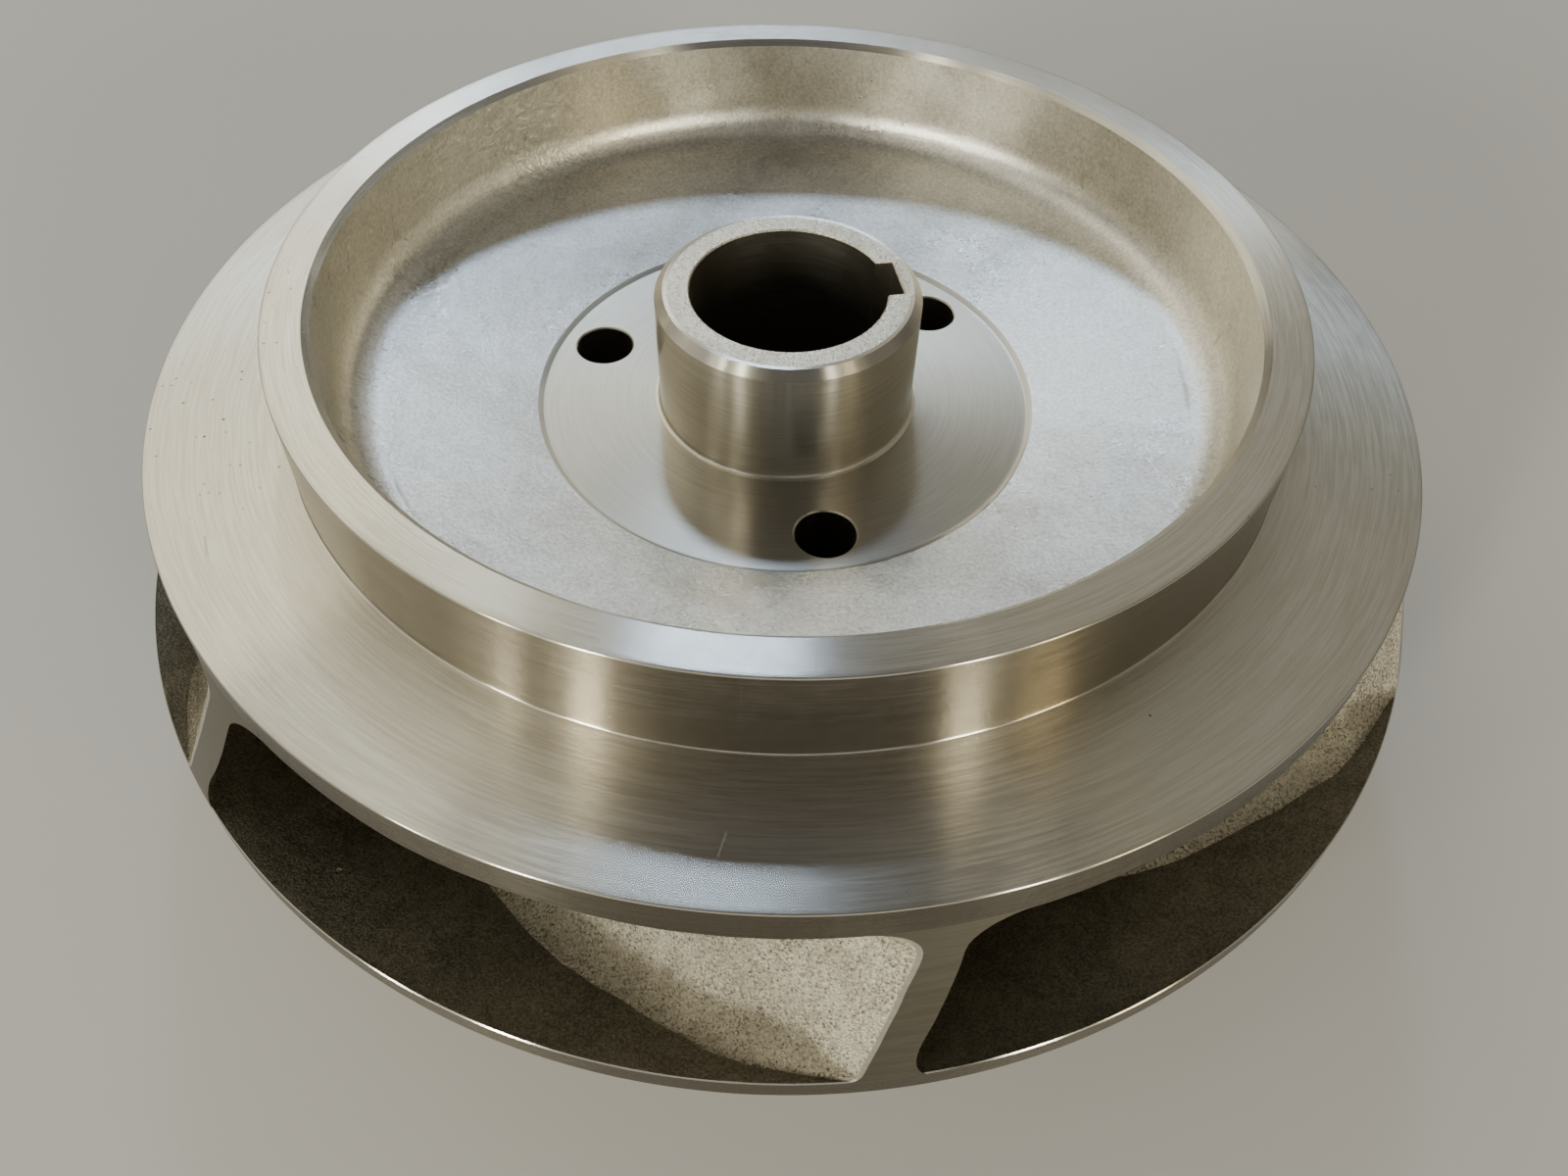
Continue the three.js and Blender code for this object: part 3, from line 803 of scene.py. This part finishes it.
def drilled_mesh(sizes, radii, upper, lower, finish_upper, finish_lower, bevel_upper, bevel_lower):
    """A ring with balance holes. Its top and bottom are height fields over one flat polar grid: cells
    near a hole are left out, and rows of points run from the edge of that gap to the hole's circle.
    upper(radius) and lower(radius) give the heights, and each end of a hole may have a bevel."""
    radii = np.asarray(radii)
    inner_row = int(np.argmin(np.abs(radii - (sizes.hole_circle - 13.0 * MM))))
    outer_row = int(np.argmin(np.abs(radii - (sizes.hole_circle + 12.8 * MM))))
    plan = [polar(radii[:, None], ROUND).reshape(-1, 2)]
    rows, here = np.meshgrid(np.arange(len(radii) - 1), np.arange(TURNS), indexing="ij")
    kept = np.ones(rows.shape, bool)
    bearings = [sizes.hole_angle + index * 2.0 * np.pi / HOLES for index in range(HOLES)]
    middles = [int(round(bearing / (2.0 * np.pi) * TURNS)) for bearing in bearings]
    for middle in middles:
        kept[inner_row:outer_row, (np.arange(-HALF_GAP, HALF_GAP) + middle) % TURNS] = False
    rows, here = rows[kept], here[kept]
    after = (here + 1) % TURNS
    near, far = rows * TURNS, (rows + 1) * TURNS
    faces = [np.stack([near + here, far + here, far + after, near + after], -1)]
    total = len(radii) * TURNS
    circles = []
    for middle, bearing in zip(middles, bearings):
        columns = np.arange(-HALF_GAP, HALF_GAP + 1) + middle
        outer = outer_row * TURNS + columns[:-1] % TURNS
        right = np.arange(outer_row, inner_row, -1) * TURNS + columns[-1] % TURNS
        inner = inner_row * TURNS + columns[:0:-1] % TURNS
        left = np.arange(inner_row, outer_row) * TURNS + columns[0] % TURNS
        edge = np.concatenate([outer, right, inner, left])
        edge_points = plan[0][edge]
        centre = polar(sizes.hole_circle, bearing)
        ray = edge_points - centre
        ray /= np.linalg.norm(ray, axis=1, keepdims=True)
        circle = centre + (sizes.hole_radius + bevel_upper) * ray
        before = edge
        for portion in (0.25, 0.5, 0.72, 0.88, 1.0):
            plan.append(edge_points + (circle - edge_points) * portion)
            ring = total + np.arange(len(edge))
            total += len(edge)
            faces.append(band(before, ring))
            before = ring
        circles.append((before, centre, ray))
    plan, faces = np.concatenate(plan), np.concatenate(faces)
    top = np.column_stack([plan, upper(np.linalg.norm(plan, axis=1))])
    count = len(top)
    for ring, centre, ray in circles:
        plan[ring] = centre + (sizes.hole_radius + bevel_lower) * ray
    bottom = np.column_stack([plan, lower(np.linalg.norm(plan, axis=1))])
    vertices = [top, bottom]
    quads = [faces, faces[:, ::-1] + count]
    marks = [np.full(len(faces), finish_upper), np.full(len(faces), finish_lower)]
    total = 2 * count
    for ring, centre, ray in circles:
        levels = []
        if bevel_upper:
            levels.append((top[ring, 2] - bevel_upper, finish_upper))
        if bevel_lower:
            levels.append((bottom[ring, 2] + bevel_lower, BORE))
        before = ring
        for height, finish in levels:
            vertices.append(np.column_stack([centre + sizes.hole_radius * ray, height]))
            row = total + np.arange(len(ring))
            total += len(ring)
            quads.append(band(before, row))
            marks.append(np.full(len(ring), finish))
            before = row
        quads.append(band(before, ring + count))
        marks.append(np.full(len(ring), finish_lower if bevel_lower else BORE))
    here = np.arange(TURNS)
    for row, step in ((0, 1), (len(radii) - 1, -1)):
        above = row * TURNS + here
        quads.append(band(above, above + count)[:, ::step])
        marks.append(np.full(TURNS, finish_lower))
    vertices, quads, marks = np.concatenate(vertices), np.concatenate(quads), np.concatenate(marks)
    return vertices, quads, marks, bearing_corners(vertices, quads)


def bearing_corners(vertices, faces):
    """Coordinates of each face corner: the turn about the axis, and a sum of radius and height."""
    lengths = np.array([len(face) for face in faces])
    points = vertices[np.concatenate([np.asarray(face) for face in faces])]
    bearing = np.arctan2(points[:, 1], points[:, 0]) / (2.0 * np.pi)
    first = np.repeat(bearing[np.cumsum(lengths) - lengths], lengths)
    bearing -= np.round(bearing - first)
    return np.column_stack([bearing, np.hypot(points[:, 0], points[:, 1]) + HEIGHT_SHARE * points[:, 2]])


def hub_wall_radius(walls, height):
    """Radius of the hub wall at a height."""
    return float(bezier(walls.hub, walls.place(walls.hub, 1, height))[0])


def balance_pad_mesh(sizes):
    """Flat pad with its rising step, down to the flare's top."""
    walls = Walls(sizes)
    at_flare = hub_wall_radius(walls, PAD_FOOT_Z)
    step_foot, step_head = sizes.pad_radius + 0.3 * MM, PAD_STEP_RADIUS - 0.3 * MM
    radii = np.append(np.linspace(HUB_RADIUS, sizes.pad_radius, 38), [step_foot, step_head, PAD_STEP_RADIUS])
    steps_at = [sizes.pad_radius, step_foot, step_head, PAD_STEP_RADIUS]
    steps_to = [sizes.pad_height, sizes.pad_height + 0.1 * MM, PAD_STEP_Z - 0.05 * MM, PAD_STEP_Z]

    def upper(radius):
        return np.interp(radius, steps_at, steps_to)

    def lower(radius):
        return np.where(radius < at_flare, PAD_FOOT_Z, walls.hub_height(radius))

    return drilled_mesh(sizes, radii, upper, lower, PAD, CAST, 0.5 * MM, 0.0)


def hub_flare_mesh(sizes):
    """Cast shoulder and flare of the hub between the pad and the nose."""
    walls = Walls(sizes)
    at_top, at_nose = hub_wall_radius(walls, PAD_FOOT_Z), hub_wall_radius(walls, NOSE_TOP_Z)
    radii = np.append(np.linspace(HUB_RADIUS, at_nose, 4), np.linspace(at_nose, at_top, 28)[1:])

    def upper(radius):
        return np.full(np.shape(radius), PAD_FOOT_Z)

    def lower(radius):
        return np.where(radius < at_nose, NOSE_TOP_Z, walls.hub_height(np.minimum(radius, at_top)))

    return drilled_mesh(sizes, radii, upper, lower, CAST, CAST, 0.0, 0.3 * MM)


def hub_nose_mesh(sizes):
    """Cast nose round the sleeve's lower end."""
    walls = Walls(sizes)
    inner, foot, top, out = HUB_RADIUS, NOSE_FOOT_Z, NOSE_TOP_Z, sizes.nose_radius
    wall = walls.hub_stretch(walls.place(walls.hub, 1, top), 1.0, 24)
    cast = np.vstack([path((inner, foot), ((inner, top), 1), (wall[0], 1)), wall[1:]])
    end = path(wall[-1], ((out, foot), (out - sizes.nose_round, foot), 10), ((inner, foot), 1))
    return revolved([Stretch(cast, CAST), Stretch(end, TURNED)])


def front_outer(sizes, walls):
    """Points of the outer side of the front shroud's wall, and the wall's parameter at each."""
    at = np.linspace(0.0, 1.0, OFFSET_SAMPLES)
    return at, sideways(bezier(walls.shroud, at), sizes.front_wall)


def front_shroud_mesh(sizes):
    """Turned rim of the front shroud, its cast inner wall and its outer side."""
    walls = Walls(sizes)
    at, outer = front_outer(sizes, walls)
    at_neck = walls.place(walls.shroud, 1, NECK_TOP_Z)
    back_at_neck = float(np.interp(NECK_TOP_Z, outer[::-1, 1], at[::-1]))
    picks = np.linspace(back_at_neck, 0.12, 30)
    outside = np.column_stack([np.interp(picks, at, outer[:, column]) for column in (0, 1)])
    out, top, cut, edge = FRONT_RADIUS, FRONT_RIM_TOP_Z, sizes.edge_break, 0.35 * MM
    low = top - sizes.front_rim
    inside = walls.shroud_stretch(0.004, at_neck, 70)
    inside_swell = sizes.cast_unevenness * smooth_step(1.0, 0.85, np.linspace(0.0, 1.0, len(inside)))
    outside_swell = sizes.cast_unevenness * smooth_step(0.0, 0.2, np.linspace(0.0, 1.0, len(outside)))
    profile = [
        Stretch(line((out, low + cut), (out, top - edge), 8), RIM),
        Stretch(line((out, top - edge), (out - edge, top), 2), TURNED),
        Stretch(line((out - edge, top), inside[0]), CAST),
        Stretch(inside, CAST, inside_swell),
        Stretch(line(inside[-1], outside[0]), CAST),
        Stretch(outside, CAST, outside_swell),
        Stretch(line(outside[-1], (out - cut, low), 4), CAST),
        Stretch(line((out - cut, low), (out, low + cut)), RIM),
    ]
    return revolved(profile, seed=41)


def eye_neck_mesh(sizes):
    """Cast neck that leads from the front shroud into the suction eye."""
    walls = Walls(sizes)
    outer = front_outer(sizes, walls)[1]
    shoulder = (float(np.interp(NECK_TOP_Z, outer[::-1, 1], outer[::-1, 0])), NECK_TOP_Z)
    inside = walls.shroud_stretch(walls.place(walls.shroud, 1, NECK_TOP_Z), 1.0, 40)
    eye, seat, top = sizes.eye_radius, sizes.ring_seat, FRONT_RING_TOP_Z
    foot = path(inside[-1], ((eye, 0.0), (eye + sizes.eye_round, 0.0), 8), ((seat, 0.0), 1), ((seat, top), 1))
    profile = [
        Stretch(np.vstack([shoulder, inside]), CAST),
        Stretch(foot, TURNED),
        Stretch(line((seat, top), shoulder, 10), CAST),
    ]
    return revolved(profile)


def front_ring_mesh(sizes):
    """Turned front wear ring."""
    out, seat, top, cut = FRONT_RING_RADIUS, sizes.ring_seat, FRONT_RING_TOP_Z, sizes.edge_break
    outline = path(
        (seat, 0.0), ((out - cut, 0.0), 8), ((out, 0.0), (out, cut), 4), ((out, top - cut), 16),
        ((out, top), (out - cut, top), 4), ((seat, top), 8), ((seat, 0.0), 1),
    )
    return revolved([Stretch(outline, TURNED)])


# How a vane runs along the hub wall and the shroud wall: where it starts as a parameter of the wall,
# how many degrees it winds round the axis, the share of that which is even, and its blade angles
HUB_RUN = {"start": 0.72, "wrap": 107.0, "even": 0.875, "outlet": 25.0, "inlet": 43.0}
SHROUD_RUN = {"start": 0.80, "wrap": 74.0, "even": 0.70, "outlet": 25.0, "inlet": 21.0}

# Share of a vane's run that the bevel at its tip takes, and half the thickness of its nose
TIP_BEVEL = 0.0022
NOSE_HALF = 1.2 * MM

# Distances from a wall at which a vane's fillets have rows of points
FILLET_ROWS = np.array([0.0, 0.15, 0.4, 0.8, 1.4, 2.2, 3.2, 4.5, 6.0, 7.8, 9.8, 12.0]) * MM


def between(key, span):
    """A vane's value between its run on the hub wall (span 0) and on the shroud wall (span 1)."""
    return HUB_RUN[key] + (SHROUD_RUN[key] - HUB_RUN[key]) * span


def fillet_width(distance, tall, wide):
    """What an elliptic fillet adds at a distance from the wall: wide (1 - sqrt(1 - q^2)), where q is
    1 - distance / tall."""
    rest = np.clip(1.0 - distance / tall, 0.0, 0.99)
    return wide * (1.0 - np.sqrt(1.0 - rest**2))


def vane_mesh(sizes, turn, seed):
    """One vane as rows that run across the passage and a loop round each row: in along the outward
    face from the tip to the nose, back out along the inward face, and across the tip. A point's
    radius and height lie between the two walls at its stream place, and its angle is the camber's
    less or plus half the width, which has the fillets and a swell in it."""
    walls = Walls(sizes)
    inward = np.append(np.linspace(0.0, 0.97, 96), 1.0 - 0.03 * np.linspace(1.0, 0.0, 15)[1:] ** 2)
    inward = np.insert(inward, 1, TIP_BEVEL)
    at_hub = bezier(walls.hub, inward * HUB_RUN["start"])
    at_shroud = bezier(walls.shroud, inward * SHROUD_RUN["start"])
    height = np.linalg.norm(at_hub - at_shroud, axis=1)
    close = FILLET_ROWS[:, None] / height
    open_rows = np.linspace(0.0, 1.0, 22)[1:-1, None]
    far = close[-1]
    span = np.vstack([close, far + (1.0 - 2.0 * far) * open_rows, 1.0 - close[::-1]])
    back = inward * between("start", span)
    on_hub, on_shroud = bezier(walls.hub, back), bezier(walls.shroud, back)
    middle = on_hub + (on_shroud - on_hub) * span[..., None]
    radius, level = middle[..., 0], middle[..., 1]
    even = between("even", span)
    wound = even * inward + (1.0 - even) * inward**2
    camber = sizes.vane_tip_angle + sizes.vane_tip_lean * span - np.radians(between("wrap", span)) * wound
    outlet = between("outlet", span)
    blade = np.radians(outlet + (between("inlet", span) - outlet) * inward)
    body = smooth_step(1.0, 0.9, inward)
    nose = np.sqrt(1.0 - (1.0 - np.clip((1.0 - inward) / 0.02, 0.0, 1.0)) ** 2)
    half = nose * (NOSE_HALF + (sizes.vane_thickness / 2.0 - NOSE_HALF) * body)
    from_hub, from_shroud = span * height, (1.0 - span) * height
    position = polar(radius, camber, level)
    bearings = []
    inside = smooth_step(0.0, 0.09, inward)
    outward_foot = (2.5 + 9.5 * inside) * MM, (1.5 + 8.5 * inside) * MM
    passage_foot = 13.0 * MM, 3.0 * MM
    for side, foot, seed in ((-1.0, outward_foot, seed), (1.0, passage_foot, seed + 4)):
        width = fillet_width(from_hub, sizes.vane_root_round * 1.2, sizes.vane_root_round * 0.94)
        width = (width + fillet_width(from_shroud, *foot)) * body
        rough = swell(position, seed, 0.05) * 0.8 + swell(position, seed + 1, 0.012) * 0.12
        width = width + half + rough * nose * sizes.cast_unevenness
        if side < 0:
            width[:, 0] -= sizes.vane_edge_break
        bearings.append(camber + side * width / np.sin(blade) / radius)
    outward, passage = bearings
    columns = len(inward)
    across = np.linspace(0.0, 1.0, 9)[1:-1]
    tip = passage[:, :1] + (outward[:, :1] - passage[:, :1]) * across
    bearing = np.concatenate([outward, passage[:, -2::-1], tip], axis=1) + turn
    level = level - 0.35 * MM * smooth_step(2.5 * MM, 0.0, from_shroud)
    order = np.concatenate([np.arange(columns), np.arange(columns - 2, -1, -1), np.zeros(len(across), int)])
    # foot_shade is painted shade: 1 at the shroud floor, falling to 0 at one and a half heights of the
    # outward fillet.
    foot_shade = smooth_step(1.5, 0.45, from_shroud / outward_foot[0])[:, order]
    foot_shade = np.vstack([foot_shade[:1], foot_shade, foot_shade[-1:]])
    radius, level = radius[:, order], level[:, order]
    sunk, narrowed = 1.5 * MM, 0.6 * MM
    radius = np.vstack([radius[:1] - narrowed, radius, radius[-1:] - narrowed])
    level = np.vstack([level[:1] + sunk, level, level[-1:] - sunk])
    bearing = np.vstack([bearing[:1], bearing, bearing[-1:]])
    grid = polar(radius, bearing, level)
    rows, count = bearing.shape
    row, here = np.meshgrid(np.arange(rows - 1) * count, np.arange(count), indexing="ij")
    after = (here + 1) % count
    quads = np.stack([row + here, row + count + here, row + count + after, row + after], -1).reshape(-1, 4)
    marks = np.where(np.arange(count) >= 2 * columns - 2, LAND, VANE)
    marks[0] = TURNED
    marks = np.tile(marks, rows - 1)
    first = np.arange(columns - 2)
    second = 2 * columns - 2 - first
    pairs = np.stack([first, first + 1, second - 1, second], -1)
    nose_cap = [columns - 2, columns - 1, columns]
    tip_cap = [0, *range(2 * columns - 2, count)]
    faces = quads.tolist()
    for base, step in ((0, 1), ((rows - 1) * count, -1)):
        faces += (pairs[:, ::step] + base).tolist()
        faces.append([index + base for index in nose_cap[::step]])
        faces.append([index + base for index in tip_cap[::step]])
    marks = np.append(marks, np.full(len(faces) - len(quads), CAST))
    vertices = grid.reshape(-1, 3)
    return vertices, faces, marks, bearing_corners(vertices, faces), foot_shade.ravel()


# Each piece's name, the solids that it stands for, the record's slot and the function that makes it
PIECES = {
    "back_shroud": ("turned_back_shroud", ["back_shroud"], "turned_steel", back_shroud_mesh),
    "rear_ring": ("turned_rear_ring", ["rear_wear_ring"], "turned_steel", rear_ring_mesh),
    "dish_web": ("ground_dish", ["dish_web"], "ground_steel", dish_web_mesh),
    "hub_sleeve": ("keyed_hub_sleeve", ["hub_sleeve"], "turned_steel", hub_sleeve_mesh),
    "balance_pad": ("drilled_pad", ["balance_pad"], "turned_steel", balance_pad_mesh),
    "hub_flare": ("drilled_flare", ["hub_shoulder", "hub_flare"], "cast_steel", hub_flare_mesh),
    "hub_nose": ("cast_hub_nose", ["hub_nose"], "cast_steel", hub_nose_mesh),
    "front_shroud": ("cast_front_shroud", ["front_shroud"], "cast_steel", front_shroud_mesh),
    "eye_neck": ("cast_eye_neck", ["eye_neck"], "cast_steel", eye_neck_mesh),
    "front_ring": ("turned_front_ring", ["front_wear_ring"], "turned_steel", front_ring_mesh),
}


def make(context, *keys):
    """Makes the pieces that the keys name in the list of pieces."""
    for key in keys:
        name, nodes, slot, shape = PIECES[key]
        put(name, shape(context.scene.impeller_sizes), finishes(context), nodes)
    return {"FINISHED"}


class IMPELLER_OT_back_shroud(bpy.types.Operator):
    """Make the turned back shroud and the rear ring on it"""

    bl_idname = "impeller.back_shroud"
    bl_label = "Back shroud and ring"

    def execute(self, context):
        return make(context, "back_shroud", "rear_ring")


class IMPELLER_OT_dish(bpy.types.Operator):
    """Make the ground dish between the rear ring and the pad"""

    bl_idname = "impeller.dish"
    bl_label = "Dish"

    def execute(self, context):
        return make(context, "dish_web")


class IMPELLER_OT_hub(bpy.types.Operator):
    """Make the keyed hub with its drilled pad, flare and nose"""

    bl_idname = "impeller.hub"
    bl_label = "Hub"

    def execute(self, context):
        return make(context, "hub_sleeve", "balance_pad", "hub_flare", "hub_nose")


class IMPELLER_OT_front_shroud(bpy.types.Operator):
    """Make the front shroud, its neck and its wear ring"""

    bl_idname = "impeller.front_shroud"
    bl_label = "Front shroud and ring"

    def execute(self, context):
        return make(context, "front_shroud", "eye_neck", "front_ring")


class IMPELLER_OT_vanes(bpy.types.Operator):
    """Make the backward-curved vanes"""

    bl_idname = "impeller.vanes"
    bl_label = "Vanes"

    def execute(self, context):
        names = sorted(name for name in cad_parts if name.startswith("vane_"))
        for index, node in enumerate(names):
            turn = index * 2.0 * math.pi / len(names)
            shape = vane_mesh(context.scene.impeller_sizes, turn, 100 + 10 * index)
            put("cast_" + node, shape, finishes(context), [node])
        return {"FINISHED"}


# Soft boxes around the impeller: the turn from +X and the rise of the middle, the width and height as
# angles, the glow in W/m² and the shade
SOFT_BOXES = {
    "window": (93.4, 46.8, 6.6, 4.4, 114.0, (0.56, 0.73, 1.0)),
    "streak": (102.0, 38.0, 2.0, 6.0, 50.0, (0.76, 0.90, 1.0)),
    "far_wall": (92.5, 33.0, 34.0, 18.0, 2.3, (1.0, 0.97, 0.86)),
    "left_wall": (131.0, 34.0, 42.0, 30.0, 4.6, (1.0, 0.95, 0.76)),
    "left_upper": (130.0, 57.0, 30.0, 14.0, 2.2, (1.0, 0.96, 0.79)),
    "left_side": (166.0, 45.0, 20.0, 40.0, 3.0, (1.0, 0.96, 0.79)),
    "side_left": (190.0, 48.0, 22.0, 36.0, 1.2, (1.0, 0.96, 0.77)),
    "strip_left": (203.0, 48.0, 6.0, 36.0, 4.0, (1.0, 0.96, 0.82)),
    "behind_left": (222.0, 48.0, 34.0, 36.0, 0.9, (1.0, 0.95, 0.74)),
    "strip_middle": (225.0, 48.0, 6.0, 36.0, 5.0, (1.0, 0.96, 0.82)),
    "strip_right": (317.0, 48.0, 6.0, 36.0, 3.0, (1.0, 0.96, 0.82)),
    "behind_right": (332.0, 48.0, 18.0, 36.0, 1.0, (1.0, 0.88, 0.60)),
    "side_right": (10.0, 44.0, 54.0, 44.0, 0.3, (1.0, 0.94, 0.66)),
    "right_wall": (55.0, 40.0, 34.0, 44.0, 0.55, (1.0, 1.0, 0.84)),
    "right_lamp": (66.0, 30.0, 5.0, 5.0, 7.0, (0.96, 1.0, 0.97)),
    "front_high": (270.0, 66.0, 40.0, 10.0, 0.3, (1.0, 0.95, 0.76)),
    "front_low": (262.0, 7.0, 64.0, 18.0, 3.0, (1.0, 0.98, 0.92)),
    "door_far_left": (218.0, 12.0, 4.5, 20.0, 80.0, (1.0, 0.97, 0.85)),
    "door_left": (234.5, 12.0, 5.0, 20.0, 200.0, (1.0, 0.97, 0.84)),
    "door_right": (305.5, 12.0, 6.0, 20.0, 110.0, (1.0, 0.97, 0.82)),
    "door_far_right": (321.0, 12.0, 9.0, 20.0, 30.0, (1.0, 0.84, 0.52)),
    "left_low": (205.0, 12.0, 50.0, 16.0, 2.2, (1.0, 0.98, 0.84)),
    "right_low": (335.0, 12.0, 60.0, 16.0, 0.7, (1.0, 0.96, 0.78)),
}
BOX_AIM = Vector((0.0, 0.0, 0.15))
BOX_DISTANCE = 6.0


def soft_box(name, turn, rise, wide, tall, glow, shade):
    """A soft rectangular light that faces the impeller."""
    turn, rise = math.radians(turn), math.radians(rise)
    away = Vector((math.cos(rise) * math.cos(turn), math.cos(rise) * math.sin(turn), math.sin(rise)))
    data = bpy.data.lights.new(name, "AREA")
    data.shape = "RECTANGLE"
    data.size = 2.0 * BOX_DISTANCE * math.tan(math.radians(wide) / 2.0)
    data.size_y = 2.0 * BOX_DISTANCE * math.tan(math.radians(tall) / 2.0)
    data.energy = glow * data.size * data.size_y
    data.color = shade
    facing = (-away).to_track_quat("-Z", "Y").to_matrix().to_4x4()
    linked(name, data).matrix_world = Matrix.Translation(BOX_AIM + away * BOX_DISTANCE) @ facing


def tilted(first, second, turn):
    """Two unit vectors turned in their plane, the first towards the second."""
    return first * math.cos(turn) + second * math.sin(turn), second * math.cos(turn) - first * math.sin(turn)


def lay_floor(context, width):
    """A flat round floor just under the face that the impeller stands on."""
    turn = np.linspace(0.0, 2.0 * np.pi, FLOOR_SIDES, endpoint=False)
    edge = polar(width / 2.0, turn, np.full(FLOOR_SIDES, -FLOOR_DROP))
    mesh = bpy.data.meshes.new("floor")
    mesh.from_pydata(edge.tolist(), [], [tuple(range(FLOOR_SIDES))])
    mesh.materials.append(studio_floor("floor_paper", tuple(context.scene.impeller_finish.floor_colour)))
    floor = linked("floor", mesh)


def place_camera(context, stage):
    """The camera: it looks along +Y, is turned down, then aside, and then rolled."""
    down = stage.camera_down
    ahead, right = Vector((0.0, math.cos(down), -math.sin(down))), Vector((1.0, 0.0, 0.0))
    up = right.cross(ahead)
    ahead, right = tilted(ahead, right, stage.camera_side)
    right, up = tilted(right, up, stage.camera_roll)
    data = bpy.data.cameras.new("camera")
    data.sensor_fit = "HORIZONTAL"
    data.sensor_width = SENSOR_WIDTH
    data.lens = stage.camera_lens
    camera = linked("camera", data)
    turn = Matrix((right, up, -ahead)).transposed().to_4x4()
    camera.matrix_world = Matrix.Translation(stage.camera_place) @ turn
    context.scene.camera = camera


def surround(context, stage):
    """The even light round the stage, and the paler backdrop that the camera sees in its place."""
    world = bpy.data.worlds.new("studio")
    world.use_nodes = True
    tree = world.node_tree
    background = tree.nodes["Background"]
    background.inputs["Color"].default_value = (1.0, 0.97, 0.94, 1.0)
    strength = tree.nodes.new("ShaderNodeMapRange")
    strength.inputs["To Min"].default_value = stage.surround
    strength.inputs["To Max"].default_value = stage.backdrop
    seen = tree.nodes.new("ShaderNodeLightPath").outputs["Is Camera Ray"]
    tree.links.new(seen, strength.inputs["Value"])
    tree.links.new(strength.outputs["Result"], background.inputs["Strength"])
    context.scene.world = world


class IMPELLER_OT_stage(bpy.types.Operator):
    """Make the floor, the light and the camera"""

    bl_idname = "impeller.stage"
    bl_label = "Stage"

    def execute(self, context):
        stage = context.scene.impeller_stage
        lay_floor(context, stage.floor_size)
        place_camera(context, stage)
        surround(context, stage)
        for name, (turn, rise, wide, tall, glow, shade) in SOFT_BOXES.items():
            soft_box(name, turn, rise, wide, tall, glow * stage.key, shade)
        return {"FINISHED"}


class ImpellerStage(bpy.types.PropertyGroup):
    """Camera, floor and light."""

    camera_place: bpy.props.FloatVectorProperty(
        name="Camera place", description="Where the camera stands", size=3, subtype="TRANSLATION",
        unit="LENGTH", default=(0.0, -0.34264, 0.41714),
    )
    camera_down: angle("Camera pitch", "How far the camera looks down", 49.60)
    camera_side: angle("Camera yaw", "How far the camera looks aside", 0.17)
    camera_roll: angle("Camera roll", "How far the camera is tilted", 1.60)
    camera_lens: number("Lens", "Focal length in millimetres", 29.124)
    floor_size: length("Floor", "Width of the round floor", 9.0)
    surround: number("Surround", "Strength of the even light", 0.11)
    backdrop: number("Backdrop", "Brightness of what is seen past the floor", 0.36)
    key: number("Key light", "Strength of the soft lights", 1.0)


class IMPELLER_PT_finish(bpy.types.Panel):
    """Impeller pieces and the values that shape them"""

    bl_idname = "IMPELLER_PT_finish"
    bl_label = "Impeller finish"
    bl_space_type = "VIEW_3D"
    bl_region_type = "UI"
    bl_category = "Impeller"

    def draw(self, context):
        scene = context.scene
        for operator in OPERATORS:
            self.layout.operator(operator.bl_idname)
        for group in (scene.impeller_sizes, scene.impeller_finish, scene.impeller_stage):
            column = self.layout.column()
            for key in group.__annotations__:
                column.prop(group, key)


OPERATORS = (
    IMPELLER_OT_stage,
    IMPELLER_OT_back_shroud,
    IMPELLER_OT_dish,
    IMPELLER_OT_hub,
    IMPELLER_OT_front_shroud,
    IMPELLER_OT_vanes,
)
CLASSES = (ImpellerSizes, ImpellerFinish, ImpellerStage, *OPERATORS, IMPELLER_PT_finish)


def register():
    for item in CLASSES:
        bpy.utils.register_class(item)
    bpy.types.Scene.impeller_sizes = bpy.props.PointerProperty(type=ImpellerSizes)
    bpy.types.Scene.impeller_finish = bpy.props.PointerProperty(type=ImpellerFinish)
    bpy.types.Scene.impeller_stage = bpy.props.PointerProperty(type=ImpellerStage)


def unregister():
    del bpy.types.Scene.impeller_stage
    del bpy.types.Scene.impeller_finish
    del bpy.types.Scene.impeller_sizes
    for item in reversed(CLASSES):
        bpy.utils.unregister_class(item)


def main():
    register()
    bpy.ops.impeller.stage()
    bpy.ops.impeller.back_shroud()
    bpy.ops.impeller.dish()
    bpy.ops.impeller.hub()
    bpy.ops.impeller.front_shroud()
    bpy.ops.impeller.vanes()


if __name__ == "__main__":
    main()
